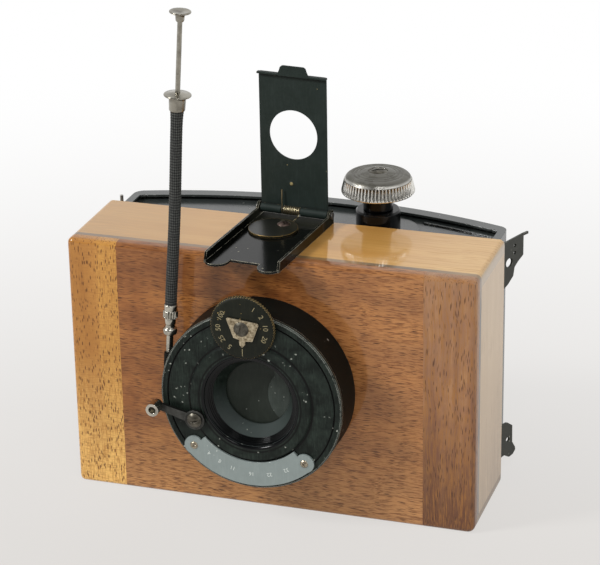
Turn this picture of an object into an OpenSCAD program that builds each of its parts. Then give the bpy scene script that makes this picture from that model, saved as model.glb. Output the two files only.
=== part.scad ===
// Pinhole camera: a wooden box on a bowed metal roll-film back, with a dial-set shutter,
// a cable release and a folding sight. Millimetres, +Z up, -Y is the front.
// The origin is the mouth of the tripod bush, in the middle of the underside of the box.

/* [Wooden box] */
// Width of the box
box_w = 140; // [136:1:160]
// Height of the box
box_h = 90; // [84:1:104]
// Depth of the box, front panel included
box_d = 37; // [35:1:50]
// Thickness of the front panel
panel_t = 4; // [3:0.5:5]
// Thickness of the top, bottom and side boards
board_t = 4.5; // [4:0.5:6]
// Width of the contrasting strip at each end of the front panel
strip_w = 17.5; // [10:0.5:24]
// Corner radius of the front panel
panel_corner_r = 3; // [1:0.5:5]
// Outside radius of the tripod bush
bush_r = 5; // [4:0.5:7]
// Radius of the bore of the tripod thread
thread_r = 2.55; // [2:0.05:3.5]

/* [Shutter] */
// Outside radius of the shutter case
shutter_r = 31; // [31:0.5:33]
// Height of the shutter's front face above the panel
shutter_depth = 15; // [14:0.5:18]
// Sideways offset of the shutter from the middle of the box
shutter_dx = -1.4; // [-6:0.2:6]
// Height of the shutter axis above the middle of the box
shutter_rise = 0.6; // [-3:0.2:3]
// Wall of the shutter case
case_wall = 1.5; // [1:0.25:2]
// Thickness of the shutter's front plate
front_plate_t = 1.6; // [1.2:0.2:2.4]
// Radius of the opening at the front of the funnel
opening_r = 16.5; // [15:0.5:16.5]
// Width of the raised ring round the opening
ring_w = 4.5; // [3:0.5:4.5]
// Height of the raised ring above the front face
ring_h = 1; // [0.6:0.1:1.4]
// Radius of the throat at the bottom of the funnel
throat_r = 11; // [10.5:0.1:11.8]
// Depth of the blades below the front face
blade_depth = 7.8; // [7:0.1:9]
// Thickness of a shutter blade
blade_t = 0.15; // [0.1:0.05:0.2]
// Radius of the spigot that passes through the front panel
spigot_r = 12; // [11.5:0.5:14]
// Diameter of the pinhole
pinhole_d = 0.3; // [0.2:0.05:0.6]

/* [Shutter controls] */
// Radius of the speed dial
dial_r = 11; // [9:0.5:12]
// Thickness of the speed dial
dial_t = 1.6; // [1.2:0.2:2.4]
// Length of the release lever between its pivot and its stud
lever_len = 13.7; // [12.5:0.1:16]
// Thickness of the release lever
lever_t = 1.2; // [0.8:0.2:1.8]
// Outside radius of the hollow stud on the lever
stud_r = 2.2; // [1.8:0.1:2.6]
// Height of the hollow stud
stud_h = 4; // [3:0.5:6]
// Width of the aperture scale plate
scale_w = 8.4; // [6:0.2:8.8]
// Thickness of the aperture scale plate
scale_t = 0.8; // [0.5:0.1:1]

/* [Cable release] */
// Lean of the cable release from upright
release_tilt = 4; // [0:0.5:8]
// Diameter of the woven cable
cable_d = 4; // [3.8:0.2:5.2]
// Diameter of the finger flange
finger_flange_d = 8.9; // [8:0.1:12]
// Radius of the plunger rod
rod_r = 0.8; // [0.7:0.05:0.9]
// Travel of the plunger
plunger_travel = 18; // [12:1:20]
// Diameter of the plunger button
button_d = 7; // [6:0.2:9]

/* [Folding sight] */
// Width of the folding leaf
leaf_w = 24; // [20:0.5:28]
// Height of the leaf above its hinge
leaf_h = 48; // [44:1:54]
// Sheet thickness of the leaf
leaf_t = 0.6; // [0.4:0.1:0.8]
// Diameter of the sight hole
sight_d = 17.2; // [14:0.2:19]
// Height of the sight hole above the hinge
sight_rise = 26.9; // [24:0.1:30]
// Sheet thickness of the tray
tray_t = 0.8; // [0.6:0.1:1]
// Height of the tray's side flanges
tray_flange_h = 3.5; // [2.5:0.1:4]
// Sideways offset of the sight from the middle of the box
sight_dx = -1.8; // [-6:0.2:6]
// Turn of the sight about its hinge, seen from above
sight_turn = -4.8; // [-8:0.2:8]
// Radius of the sight's hinge pin
sight_pin_r = 0.8; // [0.6:0.05:0.9]
// Wire diameter of the torsion spring
wire_d = 0.45; // [0.35:0.05:0.45]
// Turns of the torsion spring
spring_turns = 6; // [4:1:6]

/* [Film back] */
// Bow radius of the back door
bow_r = 198; // [190:1:230]
// Distance of the door's apex behind the wooden box
bow_reach = 29.8; // [28:0.2:34]
// Depth of the film back that is let into the box
inset_d = 20.5; // [16:0.5:22]
// Sheet thickness of the door
door_t = 0.8; // [0.6:0.1:1]
// Width of the rim along the door's edge
rim_w = 4.5; // [3:0.5:5]
// Corner radius of the door
door_corner_r = 4; // [3:0.5:5]
// Sheet thickness of the top and bottom plates
plate_t = 1; // [0.8:0.1:1.2]
// Sheet thickness of the inner walls
wall_t = 0.8; // [0.6:0.1:1]
// Side of the square picture window
picture_w = 56; // [50:1:56]
// Radius of the red window in the door
window_r = 5; // [4:0.5:6]
// Radius of the door's hinge pin
hinge_pin_r = 0.6; // [0.5:0.05:0.7]
// Sheet thickness of the side clips
clip_t = 0.7; // [0.5:0.1:0.8]

/* [Winding] */
// Radius of the winding knob at its foot
knob_r = 12.4; // [11:0.1:13.5]
// Radius of the winding knob at its shoulder
knob_top_r = 10.9; // [9.5:0.1:11.8]
// Height of the knob's ribbed side
knob_h = 5.6; // [5:0.2:9]
// Number of ribs round the knob
knob_ribs = 60; // [36:4:72]
// Radius of the winder bush
winder_bush_r = 7.5; // [6:0.5:9]
// Height of the winder bush
winder_bush_h = 7.8; // [6:0.2:10]
// Radius of the knob's spindle
spindle_r = 3; // [2.5:0.1:3.5]
// Number of teeth on each winding gear
gear_teeth = 25; // [21:2:25]
// Height of a winding gear
gear_h = 3; // [2:0.5:3]
// Height of the foot that each spool stands on
spool_stand = 6.3; // [5:0.1:8]
// Radius of a spool's flanges
spool_r = 12.4; // [11:0.2:12.6]
// Radius of a spool's core
core_r = 6; // [5:0.5:7]

/* [Fits] */
// Gap between pieces that are assembled and stay put
seat_gap = 0.02; // [0.02:0.01:0.05]
// Radial clearance of a pin that turns or slides
run_gap = 0.05; // [0.03:0.01:0.08]
// Gap between pieces that move past each other
move_gap = 0.3; // [0.2:0.05:0.4]

/* [Hidden] */
$fn = 64;
cut = 1;

// Faces of the wooden box
front_y = -box_d / 2;
rear_y = box_d / 2;
board_front_y = front_y + panel_t;
inner_top_z = box_h - board_t;

// Shutter, measured forwards from the panel's face
shutter_x = shutter_dx;
shutter_z = box_h / 2 + shutter_rise;
case_inner_r = shutter_r - case_wall;
front_plate_z = shutter_depth - front_plate_t;
ring_r = opening_r + ring_w;
ring_top = shutter_depth + ring_h;
funnel_wall = 0.8;
blade_front = shutter_depth - blade_depth;
blade_pitch = 0.45;
blade_rear = blade_front - blade_pitch;
blade_plate_t = 1;
blade_plate_front = blade_rear - blade_t - 0.4;
blade_r = throat_r + 0.7;
blade_pivot_r = 1;
left_pivot = [-3, throat_r + 8.2];
right_pivot = [6, throat_r + 8.2];
seam_r = 11;
seam_x = 3.4;
case_floor = 2;
spigot_len = 7;
pinhole_seat = -5.2;
pinhole_shim_t = 0.15;
light_bore_r = spigot_r - 3;
retainer_seat_r = spigot_r - 1.1;
retainer_bore_r = retainer_seat_r - 2.9;
nut_r = spigot_r + 4;
nut_t = 2;

// Controls on the shutter's face
function polar(r, a) = [r * cos(a), r * sin(a)];
function turned(p, a) = [p[0] * cos(a) - p[1] * sin(a), p[0] * sin(a) + p[1] * cos(a)];
dial_c = polar(shutter_r - 3.8, 92.7);
dial_back = ring_top + move_gap;
dial_front = dial_back + dial_t;
dial_post_r = 2;
pointer_t = 0.4;
pointer_back = dial_front + move_gap;
small_head_r = 2.55;
lever_pivot = polar(shutter_r - 10.7, 202.6);
lever_angle = 164.7;
lever_back = ring_top + move_gap;
lever_front = lever_back + lever_t;
lever_hub_r = 3.4;
lever_end_r = 1.9;
lever_pin_r = 1.2;
stud_bore_r = stud_r - 0.95;
scale_outer_r = shutter_r - 1.2;
scale_inner_r = scale_outer_r - scale_w;
scale_from = 222;
scale_to = 313;
scale_lobe_r = 3.3;
scale_fix_r = scale_outer_r - scale_lobe_r + 0.2;
scale_screw_r = 0.8;
scale_head_r = 1.35;

// Cable release, measured upwards along its leaning axis from the socket
socket_depth = 8;
socket_angle = 160;
socket_len = 5;
socket_r = 1.7;
release_xy = polar(shutter_r + 1.3, socket_angle);
release_base = [shutter_x + release_xy[0], front_y - socket_depth, shutter_z + release_xy[1]];
stub_r = 0.7;
stub_len = 2;
// Route of the cable in the release's leaning frame
cable_route = [
  [0, 0, 17.5], [0, 0, 20], [0.1, 0, 28], [0.2, 0, 36], [0.3, 0, 44],
  [0.3, 0, 52], [0.2, 0, 60], [0.1, 0, 68], [0, 0, 76], [0, 0, 84.5]
];
cable_from = cable_route[0][2];
cable_to = cable_route[len(cable_route) - 1][2];
cable_bore_r = rod_r + 2 * move_gap;
wire_r = 0.4;
wire_from = 20.5;
rod_from = cable_to - plunger_travel + 6.5;
collar_h = 6;
collar_to = cable_to + collar_h;
plunger_spare = 5.4;
stem_h = 2;
button_stem = collar_to + plunger_travel + plunger_spare;
rod_to = button_stem + stem_h;
button_to = rod_to + 1.5;
rod_bore_r = rod_r + run_gap;
cable_sides = 8;

// Folding sight
sight_y = rear_y - 1.5;
floor_z = box_h + tray_t;
sight_hinge_z = floor_z + 2.6;
knuckle_r = sight_pin_r + 0.8;
tray_inner_w = leaf_w + 0.8;
tray_outer_w = tray_inner_w + 2 * tray_t;
tray_front_y = sight_y - leaf_h + 1;
lobe_w = 8;
notch_d = 5.5;
ear_r = sight_pin_r + 1.2;
disc_r = 8.3;
disc_t = 0.8;
disc_at = [-2.7, -12.3];
fix_at = [-0.6, -8.2];
sight_fix = [sight_dx, sight_y] + turned(fix_at, sight_turn);
sight_screw_r = 1.5;
spring_gap_from = sight_dx - 4.6;
spring_gap_to = sight_dx + 2.4;
coil_r = sight_pin_r + 0.55;
coil_pitch = wire_d + 0.5;
spring_leg = 7.5;
leaf_lip = 1.1;
tab_dx = 0.6;
tab_w = 11.4;
lip_w = leaf_w + 0.6;
tab_h = 3.6;
tab_corner_r = 1.3;

// Film back, in plan
body_gap = 0.3;
body_half_w = box_w / 2 - board_t - body_gap;
body_front_y = rear_y - inset_d;
body_top = inner_top_z - body_gap;
body_bottom = board_t + body_gap;
bow_y = rear_y + bow_reach - bow_r;
door_half_w = body_half_w + 1.6;
door_from_y = rear_y + 7;
door_top = body_top + 1.8;
door_bottom = body_bottom - 1.8;
corner_x = door_half_w - door_corner_r;
corner_y = bow_y + sqrt(pow(bow_r - door_corner_r, 2) - pow(corner_x, 2));
corner_tangent_x = corner_x * bow_r / (bow_r - door_corner_r);
body_bow_r = bow_r - door_t - 1.3;
gate_r = bow_r - 4.5;
film_gap = 0.4;
press_r = gate_r + film_gap;

// Winding train
gear_module = 1;
gear_pitch_r = gear_module * gear_teeth / 2;
gear_tip_r = gear_pitch_r + 0.9 * gear_module;
gear_root_r = gear_pitch_r - 1.2 * gear_module;
gear_play = 1;
gear_from = body_top - plate_t - gear_play - gear_h;
roof_top = gear_from - move_gap;
roof_bottom = roof_top - wall_t;
spool_top = roof_bottom - 1;
spool_bottom = body_bottom + plate_t + spool_stand;
spool_h = spool_top - spool_bottom;
spool_y = rear_y + 8;
takeup_x = body_half_w - wall_t - 1.5 - max(gear_tip_r, spool_r);
supply_x = -takeup_x;
knob_x = takeup_x - 2 * gear_pitch_r;
gate_half_w = takeup_x - spool_r - 1;
plateau_rim = 6.5;
plateau_r = winder_bush_r + plateau_rim;
plateau_h = 0.5;
bush_from = body_top + plateau_h;
bush_to = bush_from + winder_bush_h;
neck_step = 2.5;
neck_h = 5.8;
knob_neck_r = winder_bush_r - neck_step;
neck_from = bush_to + move_gap;
knob_from = neck_from + neck_h;
knob_to = knob_from + knob_h;
knob_dome = 1.8;
knob_screw_r = 3.2;
knob_screw_seat = 0.7;
spindle_top_r = 2.5;
spool_bore_r = 3;
spool_bore_d = 6;
spool_pin_r = spool_bore_r - run_gap;
key_w = 1;
key_len = 8;
key_d = 1.5;
spool_flange_t = 1;

// Door hardware
hinge_x = -door_half_w - 1;
hinge_y = door_from_y;
hinge_knuckle_r = hinge_pin_r + 1;
hinge_lug_h = 14;
hinge_lug_z = [door_bottom + 6, door_top - 6 - hinge_lug_h];
window_z = shutter_z;
cover_w = 2 * window_r + 3;
cover_h = 2 * window_r + 4;
cover_t = 0.6;
cover_y = rear_y + bow_reach + 0.15;
rail_w = 2;
rail_lip = 1;
cover_slide = 14;
rail_h = cover_h + cover_slide;
clip_root_y = rear_y + 0.7;
clip_reach = 15.3;
clip_throw = 5.2;
clip_span = door_half_w + clip_throw + clip_t - body_half_w + 2 * cut;

module on_shutter(forward) {
  translate([shutter_x, front_y - forward, shutter_z]) rotate([90, 0, 0]) children();
}

module on_release(along) {
  translate(release_base) rotate([0, release_tilt, 0]) translate([0, 0, along]) children();
}

module on_sight() {
  translate([sight_dx, sight_y, 0]) rotate([0, 0, sight_turn]) translate([-sight_dx, -sight_y, 0])
    children();
}

module ring(outer_r, inner_r, h) {
  difference() {
    cylinder(r = outer_r, h = h);
    translate([0, 0, -cut]) cylinder(r = inner_r, h = h + 2 * cut);
  }
}

// A domed screw head with a straight slot, standing on z = 0
module slotted_head(r, h, slot_w = 0.7, turn = 0) {
  dome_r = (r * r + h * h) / (2 * h);
  difference() {
    intersection() {
      translate([0, 0, h - dome_r]) sphere(r = dome_r);
      cylinder(r = r, h = h);
    }
    rotate([0, 0, turn]) translate([-r - cut, -slot_w / 2, h * 0.45])
      cube([2 * (r + cut), slot_w, h]);
  }
}

// Rings of a tube swept along points, with one side of each ring towards +X
function unit(v) = v / norm(v);
function tangent(p, i) = unit(p[min(i + 1, len(p) - 1)] - p[max(i - 1, 0)]);
function side_of(t) = unit([1, 0, 0] - t[0] * t);
function tube_points(p, r, sides) = [
  for (i = [0 : len(p) - 1])
    let (t = tangent(p, i), n = side_of(t), b = cross(t, n))
      for (k = [0 : sides - 1])
        p[i] + r * cos(360 * k / sides) * n + r * sin(360 * k / sides) * b
];
function skin_faces(rings, sides, from, flip) = [
  for (i = [0 : rings - 2], k = [0 : sides - 1])
    let (
      a = from + i * sides + k,
      b = from + i * sides + (k + 1) % sides,
      c = a + sides,
      d = b + sides
    )
      for (f = [[a, c, b], [b, c, d]])
        flip ? [f[2], f[1], f[0]] : f
];
function cap_faces(from, sides, flip) = [
  for (k = [1 : sides - 2])
    flip ? [from, from + k + 1, from + k] : [from, from + k, from + k + 1]
];
function annulus_faces(outer, inner, sides, flip) = [
  for (k = [0 : sides - 1])
    let (n = (k + 1) % sides)
      for (f = [[outer + k, outer + n, inner + k], [inner + k, outer + n, inner + n]])
        flip ? [f[2], f[1], f[0]] : f
];

module tube(p, r, sides) {
  last = (len(p) - 1) * sides;
  polyhedron(
    tube_points(p, r, sides),
    concat(
      skin_faces(len(p), sides, 0, false),
      cap_faces(0, sides, false),
      cap_faces(last, sides, true)
    )
  );
}

module hollow_tube(p, outer_r, inner_r, sides) {
  last = (len(p) - 1) * sides;
  inside = len(p) * sides;
  polyhedron(
    concat(tube_points(p, outer_r, sides), tube_points(p, inner_r, sides)),
    concat(
      skin_faces(len(p), sides, 0, false),
      skin_faces(len(p), sides, inside, true),
      annulus_faces(0, inside, sides, false),
      annulus_faces(last, inside + last, sides, true)
    )
  );
}

// Wooden box

module panel_blank(from_x, to_x) {
  translate([0, board_front_y, 0]) rotate([90, 0, 0]) linear_extrude(panel_t)
    intersection() {
      panel_outline();
      translate([from_x, 0]) square([to_x - from_x, box_h]);
    }
}

module panel_outline() {
  r = panel_corner_r;
  translate([-box_w / 2 + r, 0]) square([box_w - 2 * r, box_h]);
  translate([-box_w / 2, r]) square([box_w, box_h - 2 * r]);
  for (x = [-1, 1], z = [r, box_h - r])
    translate([x * (box_w / 2 - r), z]) circle(r = r);
}

module front_panel() {
  color("sienna") difference() {
    panel_blank(-box_w / 2 + strip_w, box_w / 2 - strip_w);
    on_shutter(-panel_t - cut) cylinder(r = spigot_r + body_gap, h = panel_t + 2 * cut);
  }
}

module front_strip_left() {
  color("peru") panel_blank(-box_w / 2, -box_w / 2 + strip_w);
}

module front_strip_right() {
  color("saddlebrown") panel_blank(box_w / 2 - strip_w, box_w / 2);
}

module board(z) {
  translate([-box_w / 2, board_front_y, z]) cube([box_w, box_d - panel_t, board_t]);
}

module top_board() {
  color("burlywood") difference() {
    board(inner_top_z);
    translate([sight_fix[0], sight_fix[1], inner_top_z - cut])
      cylinder(r = sight_screw_r + seat_gap, h = board_t + 2 * cut);
  }
}

module bottom_board() {
  color("burlywood") difference() {
    board(0);
    translate([0, 0, -cut]) cylinder(r = bush_r + seat_gap, h = board_t + 2 * cut);
  }
}

module side_board(x) {
  translate([x, board_front_y, board_t]) cube([board_t, box_d - panel_t, inner_top_z - board_t]);
}

module left_board() {
  color("burlywood") side_board(-box_w / 2);
}

module right_board() {
  color("burlywood") side_board(box_w / 2 - board_t);
}

module tripod_bush() {
  blind = 0.6;
  color("goldenrod") difference() {
    cylinder(r = bush_r, h = board_t);
    translate([0, 0, -cut]) cylinder(r = thread_r, h = board_t - blind + cut);
  }
}

// Shutter

module shutter_case() {
  color("#1E2422") on_shutter(0) difference() {
    union() {
      cylinder(r = shutter_r, h = front_plate_z);
      translate([0, 0, -spigot_len]) cylinder(r = spigot_r, h = spigot_len + cut);
    }
    translate([0, 0, case_floor]) cylinder(r = case_inner_r, h = shutter_depth);
    translate([0, 0, -spigot_len - cut]) cylinder(r = light_bore_r, h = shutter_depth);
    translate([0, 0, -spigot_len - cut])
      cylinder(r = retainer_seat_r + seat_gap, h = spigot_len + cut + pinhole_seat);
  }
}

module shutter_front_plate() {
  groove_r = shutter_r - 2.2;
  groove_w = 0.5;
  groove_d = 0.5;
  lip_r = 0.7;
  color("#262C2A") on_shutter(0) difference() {
    union() {
      rotate_extrude() polygon([
        [opening_r, front_plate_z],
        [shutter_r, front_plate_z],
        [shutter_r, shutter_depth - 0.4],
        [shutter_r - 0.4, shutter_depth],
        [groove_r, shutter_depth],
        [groove_r, shutter_depth - groove_d],
        [groove_r - groove_w, shutter_depth - groove_d],
        [groove_r - groove_w, shutter_depth],
        [ring_r, shutter_depth],
        [ring_r - 0.6, ring_top],
        [opening_r, ring_top]
      ]);
      rotate_extrude() polygon([
        [throat_r, blade_front + 0.4],
        [throat_r + funnel_wall, blade_front + 0.4],
        [opening_r, front_plate_z],
        [opening_r, ring_top - lip_r],
        [opening_r - funnel_wall, ring_top - lip_r]
      ]);
      translate([0, 0, ring_top - lip_r])
        rotate_extrude() translate([opening_r, 0]) circle(r = lip_r);
      translate([dial_c[0], dial_c[1], front_plate_z])
        cylinder(r = 1.75 * dial_post_r, h = dial_back - move_gap - front_plate_z);
      translate([lever_pivot[0], lever_pivot[1], front_plate_z])
        cylinder(r = 2 * lever_pin_r, h = ring_top - front_plate_z);
    }
    translate([dial_c[0], dial_c[1], 0])
      cylinder(r = dial_post_r + seat_gap, h = 2 * shutter_depth);
    translate([lever_pivot[0], lever_pivot[1], 0])
      cylinder(r = lever_pin_r + seat_gap, h = 2 * shutter_depth);
    for (a = [scale_from, scale_to])
      translate(concat(polar(scale_fix_r, a), 0))
        cylinder(r = scale_screw_r + seat_gap, h = 2 * shutter_depth);
  }
}

module blade_plate() {
  color("#30343A") on_shutter(blade_plate_front - blade_plate_t) {
    ring(case_inner_r - seat_gap, throat_r, blade_plate_t);
    for (p = [left_pivot, right_pivot])
      translate([p[0], p[1], blade_plate_t])
        cylinder(r = blade_pivot_r, h = blade_front - blade_plate_front + 0.3);
    translate([0, 0, case_floor - blade_plate_front + blade_plate_t])
      ring(case_inner_r - seat_gap, case_inner_r - 2, blade_plate_front - blade_plate_t - case_floor);
  }
}

module blade(pivot, tail) {
  linear_extrude(blade_t) difference() {
    union() {
      children();
      polygon(concat(tail, [[pivot[0] + 2, pivot[1]], [pivot[0] - 2, pivot[1]]]));
      translate(pivot) circle(r = 2.2);
    }
    translate(pivot) circle(r = blade_pivot_r + run_gap);
  }
}

module shutter_blade_left() {
  overlap_x = 7.5;
  color("#3A4040") on_shutter(blade_rear - blade_t) blade(left_pivot, [[-9, 7], [1.5, 10.3]])
    intersection() {
      circle(r = blade_r);
      translate([-blade_r, -blade_r]) square([blade_r + overlap_x, 2 * blade_r]);
    }
}

module shutter_blade_right() {
  color("#454B4B") on_shutter(blade_front - blade_t) blade(right_pivot, [[6, 6], [10, 4.5]])
    intersection() {
      circle(r = blade_r);
      translate([seam_x + seam_r, 0]) circle(r = seam_r);
    }
}

module speed_dial() {
  teeth = 72;
  knurl_d = 0.35;
  root_r = dial_r - knurl_d;
  bevel = 0.5;
  color("#20231F") on_shutter(dial_back) translate([dial_c[0], dial_c[1], 0]) difference() {
    union() {
      linear_extrude(dial_t - bevel) polygon([
        for (i = [0 : 2 * teeth - 1]) polar(i % 2 == 0 ? dial_r : root_r, 180 * i / teeth)
      ]);
      translate([0, 0, dial_t - bevel]) cylinder(r1 = root_r - seat_gap, r2 = root_r - bevel, h = bevel);
    }
    translate([0, 0, -cut]) cylinder(r = dial_post_r + run_gap, h = dial_t + 2 * cut);
  }
}

module dial_pointer() {
  color("#C9B98A") on_shutter(pointer_back) translate([dial_c[0], dial_c[1], 0]) difference() {
    linear_extrude(pointer_t) polygon([
      [-5, 3.1], [-4.6, 3.6], [5.4, 2.6], [5.9, 2], [3.7, -3.9], [1.3, -4.1],
      [1.2, -5.3], [0.2, -6.4], [-0.7, -5.5], [-0.8, -3.7], [-2.7, -3.2]
    ]);
    translate([0, 0, -cut]) cylinder(r = dial_post_r + seat_gap, h = pointer_t + 2 * cut);
  }
}

module dial_screw() {
  color("#6E6F6C") on_shutter(0) translate([dial_c[0], dial_c[1], 0]) {
    translate([0, 0, front_plate_z])
      cylinder(r = dial_post_r, h = pointer_back + pointer_t - front_plate_z);
    translate([0, 0, pointer_back + pointer_t]) slotted_head(small_head_r, 0.9, 0.8, 75);
  }
}

module aperture_scale() {
  color("#8E9C9C") on_shutter(shutter_depth) linear_extrude(scale_t) difference() {
    union() {
      intersection() {
        difference() {
          circle(r = scale_outer_r);
          circle(r = scale_inner_r);
        }
        polygon([
          [0, 0], polar(2 * shutter_r, scale_from), [0, -3 * shutter_r], polar(2 * shutter_r, scale_to)
        ]);
      }
      for (a = [scale_from, scale_to])
        translate(polar(scale_fix_r, a)) circle(r = scale_lobe_r);
    }
    for (a = [scale_from, scale_to])
      translate(polar(scale_fix_r, a)) circle(r = scale_screw_r + seat_gap);
  }
}

module scale_screws() {
  color("#3A3C3A") on_shutter(0)
    for (a = [scale_from, scale_to])
      translate(concat(polar(scale_fix_r, a), 0)) {
        translate([0, 0, front_plate_z]) cylinder(r = scale_screw_r, h = front_plate_t + scale_t);
        translate([0, 0, shutter_depth + scale_t]) slotted_head(scale_head_r, 0.6, 0.5, a);
      }
}

module release_lever() {
  stud_at = polar(lever_len, lever_angle);
  half_w = 1.1;
  across = polar(half_w, lever_angle + 90);
  color("#4A4E4C") on_shutter(lever_back) translate([lever_pivot[0], lever_pivot[1], 0])
    linear_extrude(lever_t) difference() {
      union() {
        circle(r = lever_hub_r);
        polygon([across * 1.5, stud_at + across, stud_at - across, -across * 1.5]);
        translate(stud_at) circle(r = lever_end_r);
      }
      circle(r = lever_pin_r + run_gap);
      translate(stud_at) circle(r = lever_pin_r + seat_gap);
    }
}

module release_stud() {
  at = lever_pivot + polar(lever_len, lever_angle);
  color("#C8C6BE") on_shutter(0) translate([at[0], at[1], 0]) difference() {
    union() {
      translate([0, 0, lever_back]) cylinder(r = lever_pin_r, h = lever_t);
      translate([0, 0, lever_front]) cylinder(r = stud_r, h = stud_h);
    }
    translate([0, 0, lever_front + 0.6]) cylinder(r = stud_bore_r, h = stud_h);
  }
}

module lever_screw() {
  color("#55585A") on_shutter(0) translate([lever_pivot[0], lever_pivot[1], 0]) {
    translate([0, 0, front_plate_z])
      cylinder(r = lever_pin_r, h = lever_front + move_gap - front_plate_z);
    translate([0, 0, lever_front + move_gap]) slotted_head(small_head_r, 1, 0.7, 20);
  }
}

module cable_socket() {
  color("#2A2F2D") difference() {
    on_release(-socket_len) cylinder(r = socket_r, h = socket_len);
    on_shutter(0) cylinder(r = shutter_r + seat_gap, h = shutter_depth);
    on_release(-stub_len - cut) cylinder(r = stub_r + seat_gap, h = stub_len + 2 * cut);
  }
}

module retaining_ring() {
  notch_w = 2;
  color("#B5B2A6") on_shutter(-panel_t - nut_t) difference() {
    ring(nut_r, spigot_r + seat_gap, nut_t);
    for (a = [0, 180])
      rotate([0, 0, a]) translate([nut_r - 1.5, -notch_w / 2, -cut])
        cube([3, notch_w, nut_t + 2 * cut]);
  }
}

module pinhole_plate() {
  color("#D8B65A") on_shutter(pinhole_seat - pinhole_shim_t)
    ring(retainer_seat_r, pinhole_d / 2, pinhole_shim_t);
}

module pinhole_retainer() {
  color("#2A2C2B") on_shutter(-spigot_len)
    ring(retainer_seat_r, retainer_bore_r, spigot_len + pinhole_seat - pinhole_shim_t);
}

// Cable release

module cable_ferrule() {
  bore = wire_r + move_gap;
  color("#B9B6AA") on_release(0) difference() {
    rotate_extrude() polygon([
      [0, -stub_len], [stub_r, -stub_len], [stub_r, 0], [1.2, 0], [1.2, 6.5], [1.7, 6.7], [2.15, 7.2],
      [2.15, 8.9], [1.7, 9.4], [1.6, 9.5], [1.6, 10.5], [1.85, 10.7], [1.85, 12.5], [2.45, 12.8],
      [2.45, 15.4], [2.2, 15.7], [2.2, cable_from - 0.2], [2.1, cable_from], [0, cable_from]
    ]);
    translate([0, 0, 0.8]) cylinder(r = bore, h = cable_from);
  }
}

module release_cable() {
  color("#1A1A1A") on_release(0) hollow_tube(cable_route, cable_d / 2, cable_bore_r, cable_sides);
}

module release_wire() {
  color("#8A8C8C") on_release(wire_from) cylinder(r = wire_r, h = rod_from - wire_from);
}

module finger_collar() {
  flange_r = finger_flange_d / 2;
  color("#B9B6AA") on_release(cable_to) difference() {
    rotate_extrude() polygon([
      [0, 0], [2.2, 0], [2.6, 0.4], [2.75, collar_h - 2], [flange_r - 0.5, collar_h - 1.2],
      [flange_r, collar_h - 0.9], [flange_r, collar_h - 0.6], [flange_r - 0.4, collar_h - 0.4],
      [1.8, collar_h], [0, collar_h]
    ]);
    translate([0, 0, -cut]) cylinder(r = rod_bore_r, h = collar_h + 2 * cut);
  }
}

module plunger_rod() {
  color("#C8C6BE") on_release(rod_from) cylinder(r = rod_r, h = rod_to - rod_from);
}

module plunger_button() {
  button_r = button_d / 2;
  color("#B9B6AA") on_release(0) difference() {
    rotate_extrude() polygon([
      [0, button_stem], [1.2, button_stem], [1.4, button_stem + 0.4], [1.5, rod_to - 0.3],
      [button_r - 0.4, rod_to + 0.6], [button_r, rod_to + 0.9], [button_r, rod_to + 1.2],
      [button_r - 0.3, button_to], [button_r * 0.5, button_to - 0.3], [0, button_to - 0.4]
    ]);
    translate([0, 0, button_stem - cut]) cylinder(r = rod_r + seat_gap, h = rod_to - button_stem + cut);
  }
}

// Folding sight

module tray_floor() {
  linear_extrude(tray_t) difference() {
    union() {
      translate([-tray_outer_w / 2, tray_front_y + notch_d])
        square([tray_outer_w, sight_y + ear_r - tray_front_y - notch_d]);
      for (x = [-1, 1])
        translate([x * (tray_outer_w - lobe_w) / 2, 0]) {
          translate([-lobe_w / 2, tray_front_y + lobe_w / 2]) square([lobe_w, lobe_w]);
          translate([0, tray_front_y + lobe_w / 2]) circle(r = lobe_w / 2);
        }
    }
    translate([fix_at[0], sight_y + fix_at[1]]) circle(r = sight_screw_r + seat_gap);
  }
}

module tray_flange() {
  slope = 1.2;
  from = tray_front_y + 2.2;
  rotate([90, 0, 90]) linear_extrude(tray_t) difference() {
    union() {
      polygon([
        [from, 0], [from + slope, tray_flange_h], [sight_y + ear_r, tray_flange_h], [sight_y + ear_r, 0]
      ]);
      translate([sight_y, sight_hinge_z - box_h]) circle(r = ear_r);
    }
    translate([sight_y, sight_hinge_z - box_h]) circle(r = sight_pin_r + seat_gap);
  }
}

module sight_tray() {
  color("#232826") on_sight() translate([sight_dx, 0, box_h]) {
    tray_floor();
    for (x = [-tray_outer_w / 2, tray_outer_w / 2 - tray_t])
      translate([x, 0, 0]) tray_flange();
  }
}

module leaf_plate() {
  corner = 0.5;
  rotate([90, 0, 0]) linear_extrude(leaf_t) difference() {
    union() {
      translate([-leaf_w / 2, knuckle_r]) square([leaf_w, leaf_h - knuckle_r - corner]);
      translate([-leaf_w / 2 + corner, knuckle_r]) square([leaf_w - 2 * corner, leaf_h - knuckle_r]);
      for (x = [-1, 1])
        translate([x * (leaf_w / 2 - corner), leaf_h - corner]) circle(r = corner);
      for (span = leaf_knuckles())
        translate([span[0], 0]) square([span[1] - span[0], knuckle_r + cut]);
    }
    translate([0, sight_rise]) circle(d = sight_d);
  }
}

module leaf_tab() {
  top_half = tab_w / 2 - 1 - tab_corner_r;
  rotate([90, 0, 0]) linear_extrude(leaf_t) {
    polygon([
      [-tab_w / 2, 0], [tab_w / 2, 0], [top_half + tab_corner_r, tab_h - tab_corner_r],
      [top_half, tab_h], [-top_half, tab_h], [-top_half - tab_corner_r, tab_h - tab_corner_r]
    ]);
    for (x = [-1, 1]) translate([x * top_half, tab_h - tab_corner_r]) circle(r = tab_corner_r);
  }
}

function leaf_knuckles() = [
  [-leaf_w / 2, spring_gap_from - sight_dx],
  [spring_gap_to - sight_dx, leaf_w / 2]
];

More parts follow.
